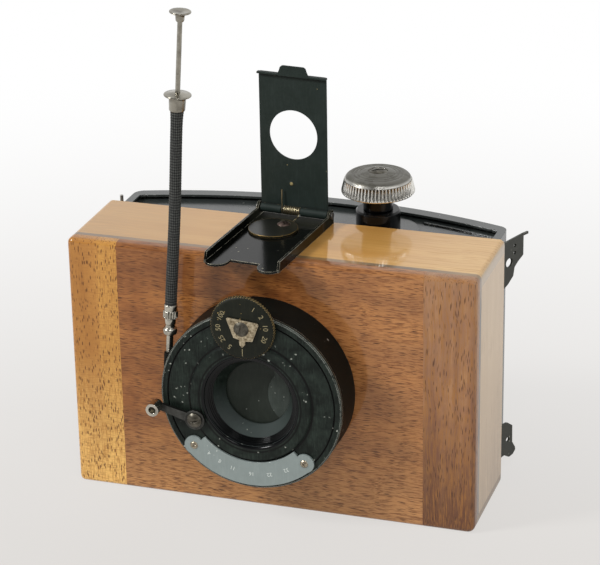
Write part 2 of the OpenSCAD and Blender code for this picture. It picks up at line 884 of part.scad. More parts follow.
module sight_leaf() {
  rivet_at = [-0.9, 9.7];
  rivet_r = 0.9;
  color("#232826") on_sight() translate([sight_dx, sight_y, sight_hinge_z]) {
    difference() {
      union() {
        translate([0, leaf_t / 2, 0]) leaf_plate();
        for (span = leaf_knuckles())
          translate([span[0], 0, 0]) rotate([0, 90, 0]) cylinder(r = knuckle_r, h = span[1] - span[0]);
      }
      translate([-leaf_w, 0, 0]) rotate([0, 90, 0]) cylinder(r = sight_pin_r + run_gap, h = 2 * leaf_w);
    }
    translate([-lip_w / 2, -leaf_t / 2 - leaf_lip, leaf_h - leaf_t])
      cube([lip_w, leaf_lip + leaf_t / 2, leaf_t]);
    translate([tab_dx, leaf_t / 2 - leaf_lip, leaf_h - leaf_t]) leaf_tab();
    translate([rivet_at[0], -leaf_t / 2, rivet_at[1]]) rotate([90, 0, 0])
      slotted_head(rivet_r, 0.25, 0.1);
  }
}

module sight_hinge_pin() {
  head_t = 0.5;
  color("#8A8478") on_sight() translate([sight_dx - tray_outer_w / 2, sight_y, sight_hinge_z])
    rotate([0, 90, 0]) {
      cylinder(r = sight_pin_r, h = tray_outer_w);
      for (z = [-head_t, tray_outer_w]) translate([0, 0, z]) cylinder(r = sight_pin_r + 0.4, h = head_t);
    }
}

// The spring's coil winds down the front of the pin, under it and up behind it
coil_rings = 8;
coil_from = (spring_gap_from + spring_gap_to - coil_pitch * spring_turns) / 2;
coil_to = coil_from + coil_pitch * spring_turns;
leg_y = sight_y - coil_r;
foot_z = floor_z + disc_t + wire_d / 2 + 0.1;
spring_coil = [
  for (i = [0 : coil_rings * spring_turns])
    let (turn = i / coil_rings)
      [
        coil_from + coil_pitch * turn,
        sight_y - coil_r * cos(360 * turn),
        sight_hinge_z - coil_r * sin(360 * turn)
      ]
];
upper_leg = [for (k = [3 : -1 : 1]) [coil_from, leg_y + 0.1 * k, sight_hinge_z + spring_leg * k / 3]];
lower_leg = [
  [coil_to, leg_y, foot_z + 0.7],
  [coil_to, leg_y - 0.7, foot_z],
  [coil_to, leg_y - 4.6, foot_z]
];
spring_path = concat(upper_leg, spring_coil, lower_leg);
function least_gap(p, apart, wire) = min([
  for (i = [0 : len(p) - 1 - apart])
    min([for (j = [i + apart : len(p) - 1]) norm(p[i] - p[j])])
]) - wire;
echo(sight_spring_least_gap = least_gap(spring_coil, 6, wire_d));

module sight_spring() {
  color("#B79B62") on_sight() tube(spring_path, wire_d / 2, 6);
}

module sight_disc() {
  color("#2B2B27") on_sight() translate([sight_dx, sight_y, floor_z]) linear_extrude(disc_t)
    difference() {
      translate(disc_at) circle(r = disc_r);
      translate(fix_at) circle(r = sight_screw_r + seat_gap);
    }
}

module sight_screw() {
  color("#3A3A36") translate([sight_fix[0], sight_fix[1], 0]) {
    translate([0, 0, inner_top_z]) cylinder(r = sight_screw_r, h = board_t + tray_t + disc_t);
    translate([0, 0, floor_z + disc_t]) slotted_head(2.3, 1, 0.7, -60);
  }
}

// Film back

module bow_disc(r) {
  translate([0, bow_y]) circle(r = r, $fn = 256);
}

module body_plan(r, half_w, from_y) {
  intersection() {
    bow_disc(r);
    translate([-half_w, from_y]) square([2 * half_w, bow_r]);
  }
}

module door_plan(inset, from_y) {
  half = door_half_w - inset;
  translate([-half, from_y]) square([2 * half, corner_y - from_y]);
  intersection() {
    bow_disc(bow_r - inset);
    translate([-corner_tangent_x, from_y]) square([2 * corner_tangent_x, bow_r]);
  }
  for (x = [-corner_x, corner_x])
    translate([x, corner_y]) circle(r = max(door_corner_r - inset, 0.2));
}

module back_plate(z) {
  translate([0, 0, z]) linear_extrude(plate_t) body_plan(body_bow_r, body_half_w, body_front_y);
}

module back_top_plate() {
  rib_r = body_bow_r - 4.3;
  rib_w = 1.2;
  rib_from = knob_x + plateau_r - 1;
  color("#20262A") difference() {
    union() {
      back_plate(body_top - plate_t);
      translate([0, 0, body_top]) linear_extrude(plateau_h) intersection() {
        translate([knob_x, spool_y]) circle(r = plateau_r);
        translate([knob_x - plateau_r, rear_y + body_gap]) square(2 * plateau_r);
      }
      translate([0, 0, body_top]) linear_extrude(plateau_h) intersection() {
        difference() {
          bow_disc(rib_r);
          bow_disc(rib_r - rib_w);
        }
        translate([rib_from, rear_y]) square([body_half_w - 1 - rib_from, bow_r]);
      }
    }
    translate([knob_x, spool_y, body_top - plate_t - cut])
      cylinder(r = spindle_r + move_gap, h = plate_t + plateau_h + 2 * cut);
  }
}

module back_bottom_plate() {
  color("#20262A") back_plate(body_bottom);
}

module back_end_walls() {
  wall_from = body_bottom + plate_t;
  color("#20262A")
    for (x = [-body_half_w, body_half_w - wall_t])
      translate([x, body_front_y, wall_from])
        cube([wall_t, door_from_y + 8 - body_front_y, body_top - plate_t - wall_from]);
}

module gear_roof() {
  half = body_half_w - wall_t - seat_gap;
  color("#3B3F40") difference() {
    translate([0, 0, roof_bottom]) linear_extrude(wall_t)
      body_plan(body_bow_r - 0.6, half, body_front_y);
    translate([takeup_x, spool_y, roof_bottom - cut])
      cylinder(r = spool_bore_r, h = wall_t + 2 * cut);
  }
}

module film_gate() {
  gate_from = body_bottom + plate_t;
  gate_h = roof_bottom - gate_from;
  color("#16181A") difference() {
    translate([0, 0, gate_from]) linear_extrude(gate_h) difference() {
      body_plan(gate_r, gate_half_w, body_front_y);
      body_plan(gate_r - wall_t, gate_half_w - wall_t, body_front_y - cut);
    }
    translate([-picture_w / 2, rear_y, shutter_z - picture_w / 2])
      cube([picture_w, bow_reach, picture_w]);
  }
}

module winder_bush() {
  color("#17191A") translate([knob_x, spool_y, bush_from]) difference() {
    rotate_extrude() polygon([
      [0, 0],
      [winder_bush_r, 0],
      [winder_bush_r, winder_bush_h - 0.5],
      [winder_bush_r - 0.5, winder_bush_h],
      [0, winder_bush_h]
    ]);
    translate([0, 0, -cut]) cylinder(r = spindle_r + run_gap, h = winder_bush_h + 2 * cut);
  }
}

module winding_knob() {
  rib = 0.45;
  groove_r = knob_top_r - 2.2;
  color("#B8B5AC") translate([knob_x, spool_y, knob_from]) difference() {
    union() {
      linear_extrude(knob_h, scale = knob_top_r / knob_r) polygon([
        for (i = [0 : 2 * knob_ribs - 1])
          polar(i % 2 == 0 ? knob_r : knob_r - rib, 180 * i / knob_ribs)
      ]);
      translate([0, 0, knob_h]) rotate_extrude() polygon([
        [0, -cut], [knob_top_r - 0.8, -cut], [knob_top_r - 0.8, 0.3], [groove_r + 0.5, 0.9],
        [groove_r + 0.3, 0.5], [groove_r - 0.3, 0.5], [groove_r - 0.5, 1.1], [4, knob_dome], [0, knob_dome]
      ]);
    }
    translate([0, 0, -cut]) cylinder(r = spindle_top_r + seat_gap, h = knob_h + knob_dome + 2 * cut);
    translate([0, 0, knob_h + knob_dome - knob_screw_seat])
      cylinder(r = knob_screw_r + seat_gap, h = knob_dome);
  }
}

module knob_screw() {
  rim_h = 0.3;
  color("#3A3A38") translate([knob_x, spool_y, knob_to + knob_dome - knob_screw_seat]) {
    cylinder(r = knob_screw_r, h = rim_h);
    translate([0, 0, rim_h]) slotted_head(knob_screw_r, 0.8, 0.8, 30);
  }
}

module knob_spindle() {
  color("#17191A") translate([knob_x, spool_y, 0]) {
    translate([0, 0, gear_from]) cylinder(r = spindle_r, h = neck_from - gear_from);
    translate([0, 0, neck_from]) cylinder(r = knob_neck_r, h = knob_from - neck_from);
    translate([0, 0, knob_from]) cylinder(r = spindle_top_r, h = knob_h + knob_dome - knob_screw_seat);
  }
}

module gear(bore_r) {
  root_half = 57.3 * 1 / gear_root_r;
  tip_half = 57.3 * 0.33 / gear_tip_r;
  linear_extrude(gear_h) difference() {
    polygon([
      for (i = [0 : gear_teeth - 1])
        let (a = 360 * i / gear_teeth)
          for (c = [
            [gear_root_r, -root_half], [gear_tip_r, -tip_half],
            [gear_tip_r, tip_half], [gear_root_r, root_half]
          ])
            polar(c[0], a + c[1])
    ]);
    circle(r = bore_r);
  }
}

module drive_gear() {
  color("#B08D42") translate([knob_x, spool_y, gear_from]) gear(spindle_r + seat_gap);
}

module takeup_gear() {
  hub_h = gear_play - move_gap;
  key_from = spool_top - spool_bore_d + 1;
  color("#B08D42") translate([takeup_x, spool_y, 0]) {
    translate([0, 0, gear_from]) gear(spool_pin_r - cut);
    translate([0, 0, key_from]) cylinder(r = spool_pin_r, h = gear_from + gear_h + hub_h - key_from);
    translate([-key_len / 2, -key_w / 2, spool_top - key_d]) cube([key_len, key_w, key_d]);
  }
}

module spool() {
  slot = move_gap;
  difference() {
    union() {
      cylinder(r = core_r, h = spool_h);
      for (z = [0, spool_h - spool_flange_t])
        translate([0, 0, z]) cylinder(r = spool_r, h = spool_flange_t);
    }
    for (z = [-cut, spool_h - spool_bore_d])
      translate([0, 0, z]) cylinder(r = spool_bore_r, h = spool_bore_d + cut);
    translate([-key_len / 2 - slot, -key_w / 2 - slot, spool_h - key_d - slot])
      cube([key_len + 2 * slot, key_w + 2 * slot, key_d + slot + cut]);
  }
}

module takeup_spool() {
  color("#8C6A44") translate([takeup_x, spool_y, spool_bottom]) spool();
}

module supply_spool() {
  color("#8C6A44") translate([supply_x, spool_y, spool_bottom]) spool();
}

module spool_pins() {
  pin_from = body_bottom + plate_t;
  reach = spool_bore_d - 1;
  color("#9A9C9C") {
    for (x = [supply_x, takeup_x])
      translate([x, spool_y, pin_from]) {
        cylinder(r = core_r, h = spool_bottom - move_gap - pin_from);
        cylinder(r = spool_pin_r, h = spool_bottom + reach - pin_from);
      }
    translate([supply_x, spool_y, spool_top - reach])
      cylinder(r = spool_pin_r, h = roof_bottom - spool_top + reach);
  }
}

// Back door

module door_shell() {
  translate([0, 0, door_bottom]) linear_extrude(door_top - door_bottom) difference() {
    door_plan(0, door_from_y);
    door_plan(door_t, door_from_y - cut);
  }
  for (z = [door_bottom, door_top - door_t])
    translate([0, 0, z]) linear_extrude(door_t) difference() {
      door_plan(0, door_from_y);
      door_plan(rim_w, door_from_y - cut);
    }
}

module window_rails() {
  lip_t = 0.6;
  rail_x = cover_w / 2 + move_gap;
  rail_y = cover_y + cover_t + move_gap;
  translate([0, 0, window_z - cover_h / 2]) difference() {
    for (side = [0, 1])
      mirror([side, 0, 0]) {
        translate([rail_x, cover_y - 1, 0]) cube([rail_w, rail_y + lip_t - cover_y + 1, rail_h]);
        translate([rail_x - rail_lip, rail_y, 0]) cube([rail_lip + rail_w, lip_t, rail_h]);
      }
    translate([0, bow_y, -cut]) cylinder(r = bow_r - door_t / 2, h = rail_h + 2 * cut, $fn = 256);
  }
}

module back_door() {
  knuckle_z = hinge_lug_z[0] + hinge_lug_h + move_gap;
  knuckle_h = hinge_lug_z[1] - move_gap - knuckle_z;
  color("#1C2124") difference() {
    union() {
      door_shell();
      window_rails();
      translate([hinge_x, hinge_y, knuckle_z]) cylinder(r = hinge_knuckle_r, h = knuckle_h);
    }
    translate([hinge_x, hinge_y, door_bottom - cut])
      cylinder(r = hinge_pin_r + run_gap, h = door_top - door_bottom + 2 * cut);
    for (z = hinge_lug_z)
      translate([hinge_x, hinge_y, z - move_gap])
        cylinder(r = hinge_knuckle_r + move_gap, h = hinge_lug_h + 2 * move_gap);
    translate([0, rear_y, window_z]) rotate([-90, 0, 0]) cylinder(r = window_r, h = 2 * bow_reach);
  }
}

module door_hinge_leaf() {
  leaf_d = 5;
  color("#1C2124") difference() {
    for (z = hinge_lug_z)
      translate([0, 0, z]) {
        translate([hinge_x, hinge_y, 0]) cylinder(r = hinge_knuckle_r, h = hinge_lug_h);
        translate([hinge_x, hinge_y - hinge_knuckle_r, 0])
          cube([-body_half_w - hinge_x, hinge_knuckle_r - hinge_pin_r - run_gap, hinge_lug_h]);
        translate([-body_half_w - wall_t, hinge_y - leaf_d, 0])
          cube([wall_t, leaf_d - hinge_pin_r - run_gap, hinge_lug_h]);
      }
    translate([hinge_x, hinge_y, 0]) cylinder(r = hinge_pin_r + seat_gap, h = box_h);
  }
}

module door_hinge_pin() {
  color("#7E7C74") translate([hinge_x, hinge_y, door_bottom])
    cylinder(r = hinge_pin_r, h = door_top + 2.3 - door_bottom);
}

module pressure_plate() {
  half = picture_w / 2 + 2;
  color("#2C3032") difference() {
    translate([0, 0, shutter_z - half]) linear_extrude(2 * half) intersection() {
      difference() {
        bow_disc(press_r + wall_t);
        bow_disc(press_r);
      }
      translate([-half, rear_y]) square([2 * half, bow_r]);
    }
    translate([0, rear_y, window_z]) rotate([-90, 0, 0]) cylinder(r = window_r + 1, h = bow_reach);
  }
}

module pressure_spring() {
  strip_h = 8;
  spring_t = 0.3;
  half = picture_w / 2 - 4;
  from_r = press_r + wall_t;
  to_r = bow_r - door_t;
  rise = to_r - from_r - spring_t;
  color("#A9A79C")
    for (side = [-1, 1])
      translate([0, 0, shutter_z + side * (picture_w / 2 - strip_h) - strip_h / 2])
        linear_extrude(strip_h) polygon(concat(
          [for (k = [-8 : 8]) on_bow(half * k / 8, from_r + rise * cos(90 * k / 8))],
          [for (k = [8 : -1 : -8]) on_bow(half * k / 8, from_r + rise * cos(90 * k / 8) + spring_t)]
        ));
}

function on_bow(x, r) = [x, bow_y + sqrt(r * r - x * x)];

module red_window() {
  seat_r = bow_r - door_t - seat_gap;
  color([0.6, 0.05, 0.05]) difference() {
    translate([0, rear_y + bow_reach - door_t - 1.2, window_z]) rotate([-90, 0, 0])
      cylinder(r = window_r + 0.8, h = 1);
    difference() {
      translate([0, bow_y, 0]) cylinder(r = bow_r + cut, h = box_h, $fn = 256);
      translate([0, bow_y, -cut]) cylinder(r = seat_r, h = box_h + 2 * cut, $fn = 256);
    }
  }
}

module window_cover() {
  grip_h = 1.2;
  color("#23282B") translate([0, cover_y, window_z - cover_h / 2]) {
    translate([-cover_w / 2, 0, 0]) cube([cover_w, cover_t, cover_h]);
    for (k = [0 : 2])
      translate([-cover_w / 4, cover_t, 3 + 2 * k]) cube([cover_w / 2, grip_h / 2, 0.8]);
  }
}

// Spring clips on the right end of the film back

function clip_line() = [
  [body_half_w + 0.1, clip_root_y],
  [body_half_w + 0.1, clip_root_y + 3.6],
  [door_half_w + 1, door_from_y + 0.1],
  [door_half_w + clip_throw, clip_root_y + clip_reach]
];

module clip_sheet(from_z, h) {
  line = clip_line();
  translate([0, 0, from_z]) linear_extrude(h)
    polygon(concat(line, [for (k = [len(line) - 1 : -1 : 0]) line[k] + [clip_t, 0]]));
}

// A side outline in y and z, extruded across the clip
module clip_cut() {
  translate([body_half_w - cut, 0, 0]) rotate([90, 0, 90]) linear_extrude(clip_span) children();
}

module clip_hole(y, z, r) {
  translate([body_half_w - cut, y, z]) rotate([0, 90, 0]) cylinder(r = r, h = clip_span);
}

module upper_clip() {
  y0 = clip_root_y;
  top = body_top + 1.4;
  color("#2A2C26") {
    difference() {
      intersection() {
        clip_sheet(top - 17, 17);
        clip_cut() polygon([
          [y0, top - 17], [y0 + 6.5, top - 17], [y0 + 8.2, top - 16], [y0 + 10.6, top - 13.8],
          [y0 + 11.2, top - 10.8], [y0 + 12.8, top - 9.3], [y0 + clip_reach, top - 7.7],
          [y0 + clip_reach, top], [y0, top - 1]
        ]);
      }
      clip_hole(y0 + 11.2, top - 3, 0.6);
      clip_hole(y0 + 11.2, top - 5.6, 0.6);
      clip_hole(y0 + 8.6, top - 8.4, 1.6);
    }
    translate([door_half_w + clip_throw, y0 + clip_reach, top - 0.8]) rotate([0, 0, -26])
      translate([0, -0.3, 0]) cube([clip_t, 3, 0.8]);
  }
}

module lower_clip() {
  y0 = clip_root_y;
  foot = body_bottom + 1.2;
  color("#2A2C26") difference() {
    intersection() {
      clip_sheet(foot - 0.6, 13.6);
      clip_cut() polygon([
        [y0, foot], [y0 + 7.9, foot + 1], [y0 + 10.2, foot - 0.6], [y0 + 12, foot - 0.2],
        [y0 + 13.2, foot + 1.1], [y0 + 13, foot + 2.2], [y0 + 11.6, foot + 4.6],
        [y0 + 11.5, foot + 11], [y0 + 9, foot + 13], [y0, foot + 13]
      ]);
    }
    clip_hole(y0 + 9.4, foot + 6.4, 0.9);
    clip_hole(y0 + 5.2, foot + 8, 1);
    clip_hole(y0 + 4.6, foot + 5.4, 0.7);
  }
}

front_panel();
front_strip_left();
front_strip_right();
top_board();
bottom_board();
left_board();
right_board();
tripod_bush();
shutter_case();
shutter_front_plate();
blade_plate();
shutter_blade_left();
shutter_blade_right();
speed_dial();
dial_pointer();
dial_screw();
aperture_scale();
scale_screws();
release_lever();
release_stud();
lever_screw();
cable_socket();
retaining_ring();
pinhole_plate();
pinhole_retainer();
cable_ferrule();
release_cable();
release_wire();
finger_collar();
plunger_rod();
plunger_button();
sight_tray();
sight_leaf();
sight_hinge_pin();
sight_spring();
sight_disc();
sight_screw();
back_top_plate();
back_bottom_plate();
back_end_walls();
gear_roof();
film_gate();
winder_bush();
winding_knob();
knob_screw();
knob_spindle();
drive_gear();
takeup_gear();
takeup_spool();
supply_spool();
spool_pins();
back_door();
door_hinge_leaf();
door_hinge_pin();
pressure_plate();
pressure_spring();
red_window();
window_cover();
upper_clip();
lower_clip();
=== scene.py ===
# %% [markdown]
# # A pinhole camera of varnished wood and worn black metal
#
# The object is a flat wooden box with an old dial-set shutter on its front, a cable release on the
# shutter, a folding sight on the lid and a bowed metal roll-film back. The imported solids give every
# piece its place. This script gives them their surfaces, and makes the braided, knurled, wound and
# rounded pieces again in finer form than a solid needs.

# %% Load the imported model
import math
from functools import partial

import bmesh
import bpy
import numpy as np
from mathutils import Matrix, Vector


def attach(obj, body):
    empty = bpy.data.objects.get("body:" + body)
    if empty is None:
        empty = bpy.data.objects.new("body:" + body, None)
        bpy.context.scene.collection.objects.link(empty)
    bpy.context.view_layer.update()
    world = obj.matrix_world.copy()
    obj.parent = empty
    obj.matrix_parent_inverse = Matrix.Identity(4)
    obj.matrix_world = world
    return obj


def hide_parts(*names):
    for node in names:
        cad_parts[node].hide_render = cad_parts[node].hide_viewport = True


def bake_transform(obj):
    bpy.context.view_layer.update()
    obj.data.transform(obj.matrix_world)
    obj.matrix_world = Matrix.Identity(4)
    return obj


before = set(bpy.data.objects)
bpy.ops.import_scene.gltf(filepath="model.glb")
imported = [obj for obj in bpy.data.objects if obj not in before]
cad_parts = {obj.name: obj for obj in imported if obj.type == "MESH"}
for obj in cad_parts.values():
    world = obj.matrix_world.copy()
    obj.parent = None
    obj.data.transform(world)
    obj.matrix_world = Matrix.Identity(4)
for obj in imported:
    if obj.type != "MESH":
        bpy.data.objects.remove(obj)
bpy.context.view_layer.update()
scene = bpy.context.scene
MM = 0.001

# %% [markdown]
# ## The viewpoint
# The photograph looks at the box from its right and from above, from 0.85 m away through a long
# lens, so that the box's edges stay almost parallel. A camera could be pointed with a constraint,
# but three angles and a place say the same and can be read off a drawing.

# %% Camera
PICTURE_WIDTH = 600
FOCAL_PIXELS = 2472.26
SENSOR_WIDTH = 36
EYE = (0.2425, -0.71719, 0.39069)
YAW, PITCH, ROLL = 18.31, 22.68, -1.01

def placed(name, data):
    """Puts a camera, a lamp or a mesh in the scene."""
    made = bpy.data.objects.new(name, data)
    scene.collection.objects.link(made)
    return made

lens = bpy.data.cameras.new("viewpoint")
lens.sensor_width = SENSOR_WIDTH
lens.lens = SENSOR_WIDTH * FOCAL_PIXELS / PICTURE_WIDTH
viewpoint = placed("viewpoint", lens)
# A camera looks straight down until it is turned, so a right angle lifts it to the horizon.
pose = Matrix.Translation(EYE)
for angle, axis in ((YAW, "Z"), (90 - PITCH, "X"), (ROLL, "Z")):
    pose = pose @ Matrix.Rotation(math.radians(angle), 4, axis)
viewpoint.matrix_world = pose
scene.camera = viewpoint
scene.view_settings.view_transform = "Standard"
print("camera", round(lens.lens, 1), "mm at", [round(v, 3) for v in viewpoint.location])

# %% [markdown]
# ## Colours and nodes
# Colours are written as sRGB hex, as a paint chart or a colour picker gives them, and Blender works
# in linear light, so one function turns the first into the second. Every material below is a tree
# of nodes. One function adds a node, sets its choices, and gives each of its inputs a value or a
# link. They are listed in the order in which the node shows its inputs: for Map Range a value, the
# range it comes from and the range it goes to; for Mix a share and two things; for Noise a place, a
# scale, a detail and a roughness. Long nodes have theirs by name.

# %% Colour and node helpers
def linear(code):
    """An sRGB hex colour as linear red, green, blue and alpha."""
    parts = [int(code[i:i + 2], 16) / 255 for i in (1, 3, 5)]
    return [p / 12.92 if p <= 0.04045 else ((p + 0.055) / 1.055) ** 2.4 for p in parts] + [1]

def add_node(tree, kind, feeds=(), out=None, **choices):
    """Adds one node to a tree and returns an output: the first that shows, or a chosen one."""
    node = tree.nodes.new("ShaderNode" + kind)
    for name, value in choices.items():
        setattr(node, name, value)
    if isinstance(feeds, dict):
        pairs = [(node.inputs[name], value) for name, value in feeds.items()]
    else:
        pairs = zip([socket for socket in node.inputs if socket.enabled], feeds)
    for socket, value in pairs:
        if isinstance(value, bpy.types.NodeSocket):
            tree.links.new(value, socket)
        else:
            socket.default_value = linear(value) if isinstance(value, str) else value
    if out is None:
        return next((socket for socket in node.outputs if socket.enabled), None)
    return node.outputs[out]

def blank_finish(name):
    """A material with an empty tree, and the function that adds nodes to it."""
    finish = bpy.data.materials.new(name)
    finish.use_nodes = True
    finish.node_tree.nodes.clear()
    return finish, partial(add_node, finish.node_tree)

print("mid grey is", round(linear("#808080")[0], 3), "in linear light")

# %% [markdown]
# ## The white table and the soft light
# The camera stands on white paper that fades to pure white behind it, in a bright room with a
# window to the left. Paper that were lit to pure white would also flood the object with light. So
# the paper and the room only show as white to rays that come from the camera, a mirror or a glass,
# and light the object at a plain level.

# %% Room
ACROSS, BACKWARD, UPRIGHT = 0, 1, 2
AMBIENT = 0.41
# Mirrors see a room that is bright beyond the object and dim behind the viewer, so that polished
# metal has a dark side as well as a bright one.
DIM_LEVEL, DIM_UP_TO, BRIGHT_FROM = 0.1, -0.35, 0.4

def shown_rays(add):
    """1 for the rays that show a background: camera, mirror and glass rays."""
    ray = add("LightPath").node.outputs
    seen = add("Math", [ray["Is Camera Ray"], ray["Is Glossy Ray"]], operation="MAXIMUM")
    return add("Math", [seen, ray["Is Transmission Ray"]], operation="MAXIMUM")

room = bpy.data.worlds.new("white_room")
room.use_nodes = True
scene.world = room
room.node_tree.nodes.clear()
add = partial(add_node, room.node_tree)
way = add("SeparateXYZ", [add("TexCoord", out="Generated")], out=BACKWARD)
level = add("MapRange", [way, DIM_UP_TO, BRIGHT_FROM, DIM_LEVEL])
level = add("Math", [level, add("LightPath", out="Is Camera Ray")], operation="MAXIMUM")
strength = add("Mix", [shown_rays(add), AMBIENT, level])
glow = add("Background", ["#FFFFFF", strength])
add("OutputWorld", [glow])
print("room at a level of", AMBIENT)

# %% Paper
# White walls all round send light into the shadows on the paper, so that they stay faint.
SHADOW_LIFT = 0.84
# In metres: the paper is plain near its middle and pure white far from it.
PAPER_MIDDLE = (0.05, -0.25, 0)
PLAIN_UP_TO, WHITE_FROM = 0.14, 0.72
PAPER_HALF = 6
# Faint clouds in the paper's tone, about 5 cm wide: so many lie across the whole sheet.
CLOUDS_ACROSS = 250

# Matt paper gives the eye an even white that takes soft shadows and has no shine.
paper, add = blank_finish("Matt white paper")
distance = add("VectorMath", [add("NewGeometry", out="Position"), PAPER_MIDDLE],
               operation="DISTANCE")
fade = add("MapRange", [distance, PLAIN_UP_TO, WHITE_FROM], interpolation_type="SMOOTHSTEP")
fade = add("Math", [fade, shown_rays(add)], operation="MULTIPLY")
lightened = add("Math", [SHADOW_LIFT, shown_rays(add)], operation="MULTIPLY")
clouds = add("TexNoise", {"Scale": CLOUDS_ACROSS, "Detail": 3})
tone = add("Mix", [clouds, "#DCD9D5", "#E2E0DC"], data_type="RGBA")
sheet = add("BsdfDiffuse", [tone])
bounce = add("Emission", ["#DDDAD7", 1])
sheet = add("MixShader", [lightened, sheet, bounce])
white = add("Emission", ["#FFFFFF", 1])
add("OutputMaterial", [add("MixShader", [fade, sheet, white])])

floor_mesh = bpy.data.meshes.new("paper")
floor_mesh.from_pydata(
    [(x * PAPER_HALF, y * PAPER_HALF, 0) for x, y in ((-1, -1), (1, -1), (1, 1), (-1, 1))], [],
    [(0, 1, 2, 3)])
floor_mesh.materials.append(paper)
floor = placed("paper", floor_mesh)
print("paper", 2 * PAPER_HALF, "m wide")

# %% Lamps
AIM = Vector((0, 0, 0.05))
# Each lamp has a name, a place and a width in metres, and a power in watts.
for name, place, width, power in (
    ("window", (-1.5, -1.0, 1.4), 0.5, 37),
    ("white_wall", (1.5, -0.7, 0.8), 1.4, 8),
    ("skylight", (0.5, -1.2, 1.6), 0.6, 8),
):
    light = bpy.data.lights.new(name, "AREA")
    light.size = width
    light.energy = power
    lamp = placed(name, light)
    lamp.location = place
    lamp.rotation_euler = (AIM - Vector(place)).to_track_quat("-Z", "Y").to_euler()
print(len(bpy.data.lights), "lamps")

# %% [markdown]
# ## Making pieces
# Turned, wound and drawn pieces all have round sections, so one way of making them serves all:
# rings of points, each ring joined to the next. A lathe sets the rings about an axis and can cut
# ribs into them, and a sweep sets them along a path. A Screw or Curve modifier would do as well,
# but rings can be shaped point by point, which the braid and the knurls need.

# %% Rings, lathe and sweep
TURNED_CREASE = math.radians(50)
# The first ring of a sweep needs a direction that no path here runs along.
OFF_THE_PATH = (0.31, 0.9, 0.2)

def smoothed(mesh, crease):
    """Shades a mesh smooth, apart from the edges that are sharper than a crease."""
    mesh.shade_smooth()
    mesh.set_sharp_from_angle(angle=crease)
    return mesh

def skin(name, rings, closed=(False, False)):
    """A smooth mesh over rings that all have the same number of points."""
    rings = np.asarray(rings, float)
    count, around = rings.shape[:2]
    sides = [(j, (j + 1) % around) for j in range(around)]
    faces = [
        (i * around + j, i * around + k, (i + 1) * around + k, (i + 1) * around + j)
        for i in range(count - 1) for j, k in sides
    ]
    if closed[0]:
        faces.append(tuple(range(around))[::-1])
    if closed[1]:
        faces.append(tuple((count - 1) * around + j for j in range(around)))
    mesh = bpy.data.meshes.new(name)
    mesh.from_pydata(rings.reshape(-1, 3).tolist(), [], faces)
    return smoothed(mesh, TURNED_CREASE)

def turned(name, rows, around, place, ribs=0, closed=(True, True)):
    """A mesh turned about the Z axis of a place.

    Each row is a radius, a height and, where ribs are cut, their depth, all in mm.
    """
    angle = np.linspace(0, 2 * np.pi, around, endpoint=False)
    turn, shift = np.array(place.to_3x3()), np.array(place.translation)
    rings = []
    for radius, height, *rib in rows:
        r = radius - sum(rib) * (0.5 - 0.5 * np.cos(ribs * angle))
        ring = np.stack([r * np.cos(angle), r * np.sin(angle), np.full(around, height)], 1)
        rings.append(ring * MM @ turn.T + shift)
    return skin(name, rings, closed)

def sweep(path, radius, around):
    """Rings square to a path, of one radius or of a radius for every point."""
    path = np.asarray(path, float)
    ahead = np.gradient(path, axis=0)
    ahead /= np.linalg.norm(ahead, axis=1)[:, None]
    angle = np.linspace(0, 2 * np.pi, around, endpoint=False)[:, None]
    radius = np.broadcast_to(radius, (len(path), around))
    side = np.cross(ahead[0], OFF_THE_PATH)
    rings = []
    for point, way, r in zip(path, ahead, radius):
        side = side - way * side.dot(way)
        side /= np.linalg.norm(side)
        ring = np.cos(angle) * side + np.sin(angle) * np.cross(way, side)
        rings.append(point + r[:, None] * ring)
    return rings

def bend(middle, radius, start, stop, steps):
    """Rows of a turned piece round an arc, with its angles in degrees from outwards to upwards."""
    arc = [math.radians(a) for a in np.linspace(start, stop, steps)]
    return [(middle[0] + radius * math.cos(a), middle[1] + radius * math.sin(a)) for a in arc]

def piece(name, mesh, finish, body, slot, *nodes):
    """Puts a mesh in the scene on a body, in place of the solids that are named."""
    made = placed(name, mesh)
    mesh.materials.append(finish)
    if nodes:
        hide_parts(*nodes)
    if body:
        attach(made, body)
    return made

print("lathe and sweep are ready")

# %% [markdown]
# ## Woven braid
# The release cable is a steel tube in a woven cotton cover: black glazed threads, about half a
# millimetre wide, that pass over and under each other. A bump map would leave the outline smooth,
# so the threads are raised in the mesh, and their height is kept as an attribute that also colours
# them: what lies high is grey, partly dust and partly painted highlight, and what lies low is
# painted black, as painted shade.

# %% Braid finish
LINT = 0.7

# Cotton gives the eye a soft, dull black. Its crests are grey from dust and wear and from a painted
# highlight, and its hollows are painted black as painted shade.
braid, add = blank_finish("Woven cotton braid, black")
height = add("Attribute", out=2, attribute_name="thread_height")
place = add("TexCoord", out="Object")
lint = add("TexNoise", [place, 1 / (LINT * MM), 4])
# Crests are painted grey, dust and painted highlight; hollows black, painted shade.
crest_dust_and_highlight = add("MapRange", [height, 0.25, 0.95, 0, 0.8])
crest_dust_and_highlight = add("Math", [crest_dust_and_highlight, lint], operation="MULTIPLY")
thread = add("Mix", [crest_dust_and_highlight, "#090A0B", "#747671"], data_type="RGBA")
nap = add("Bump", {"Height": lint, "Strength": 0.4, "Distance": 0.1 * MM})
cotton = add("BsdfPrincipled",
             {"Base Color": thread, "Roughness": 0.62, "Specular IOR Level": 0.3, "Normal": nap})
add("OutputMaterial", [cotton])
print(braid.name)

# %% [markdown]
# ## Bare metal
# Nickel plate, brass and steel differ in colour, but age alike: patches of tarnish a few
# millimetres wide dull the polish, and handled edges stay bright. A metal takes all its colour from
# its reflection, so its colour is its tint, its metallic value is 1, and its roughness tells satin
# from polish. The Bevel node finds the edges and also rounds them, as a polishing wheel does, and
# the Ambient Occlusion node finds the grooves, which are painted dark as painted shade.

# %% Metal finish
# A polishing wheel's scratches are finer than this, and are drawn coarser so that they show.
POLISH_GRAIN = 0.35
METAL_GROOVE = 0.9

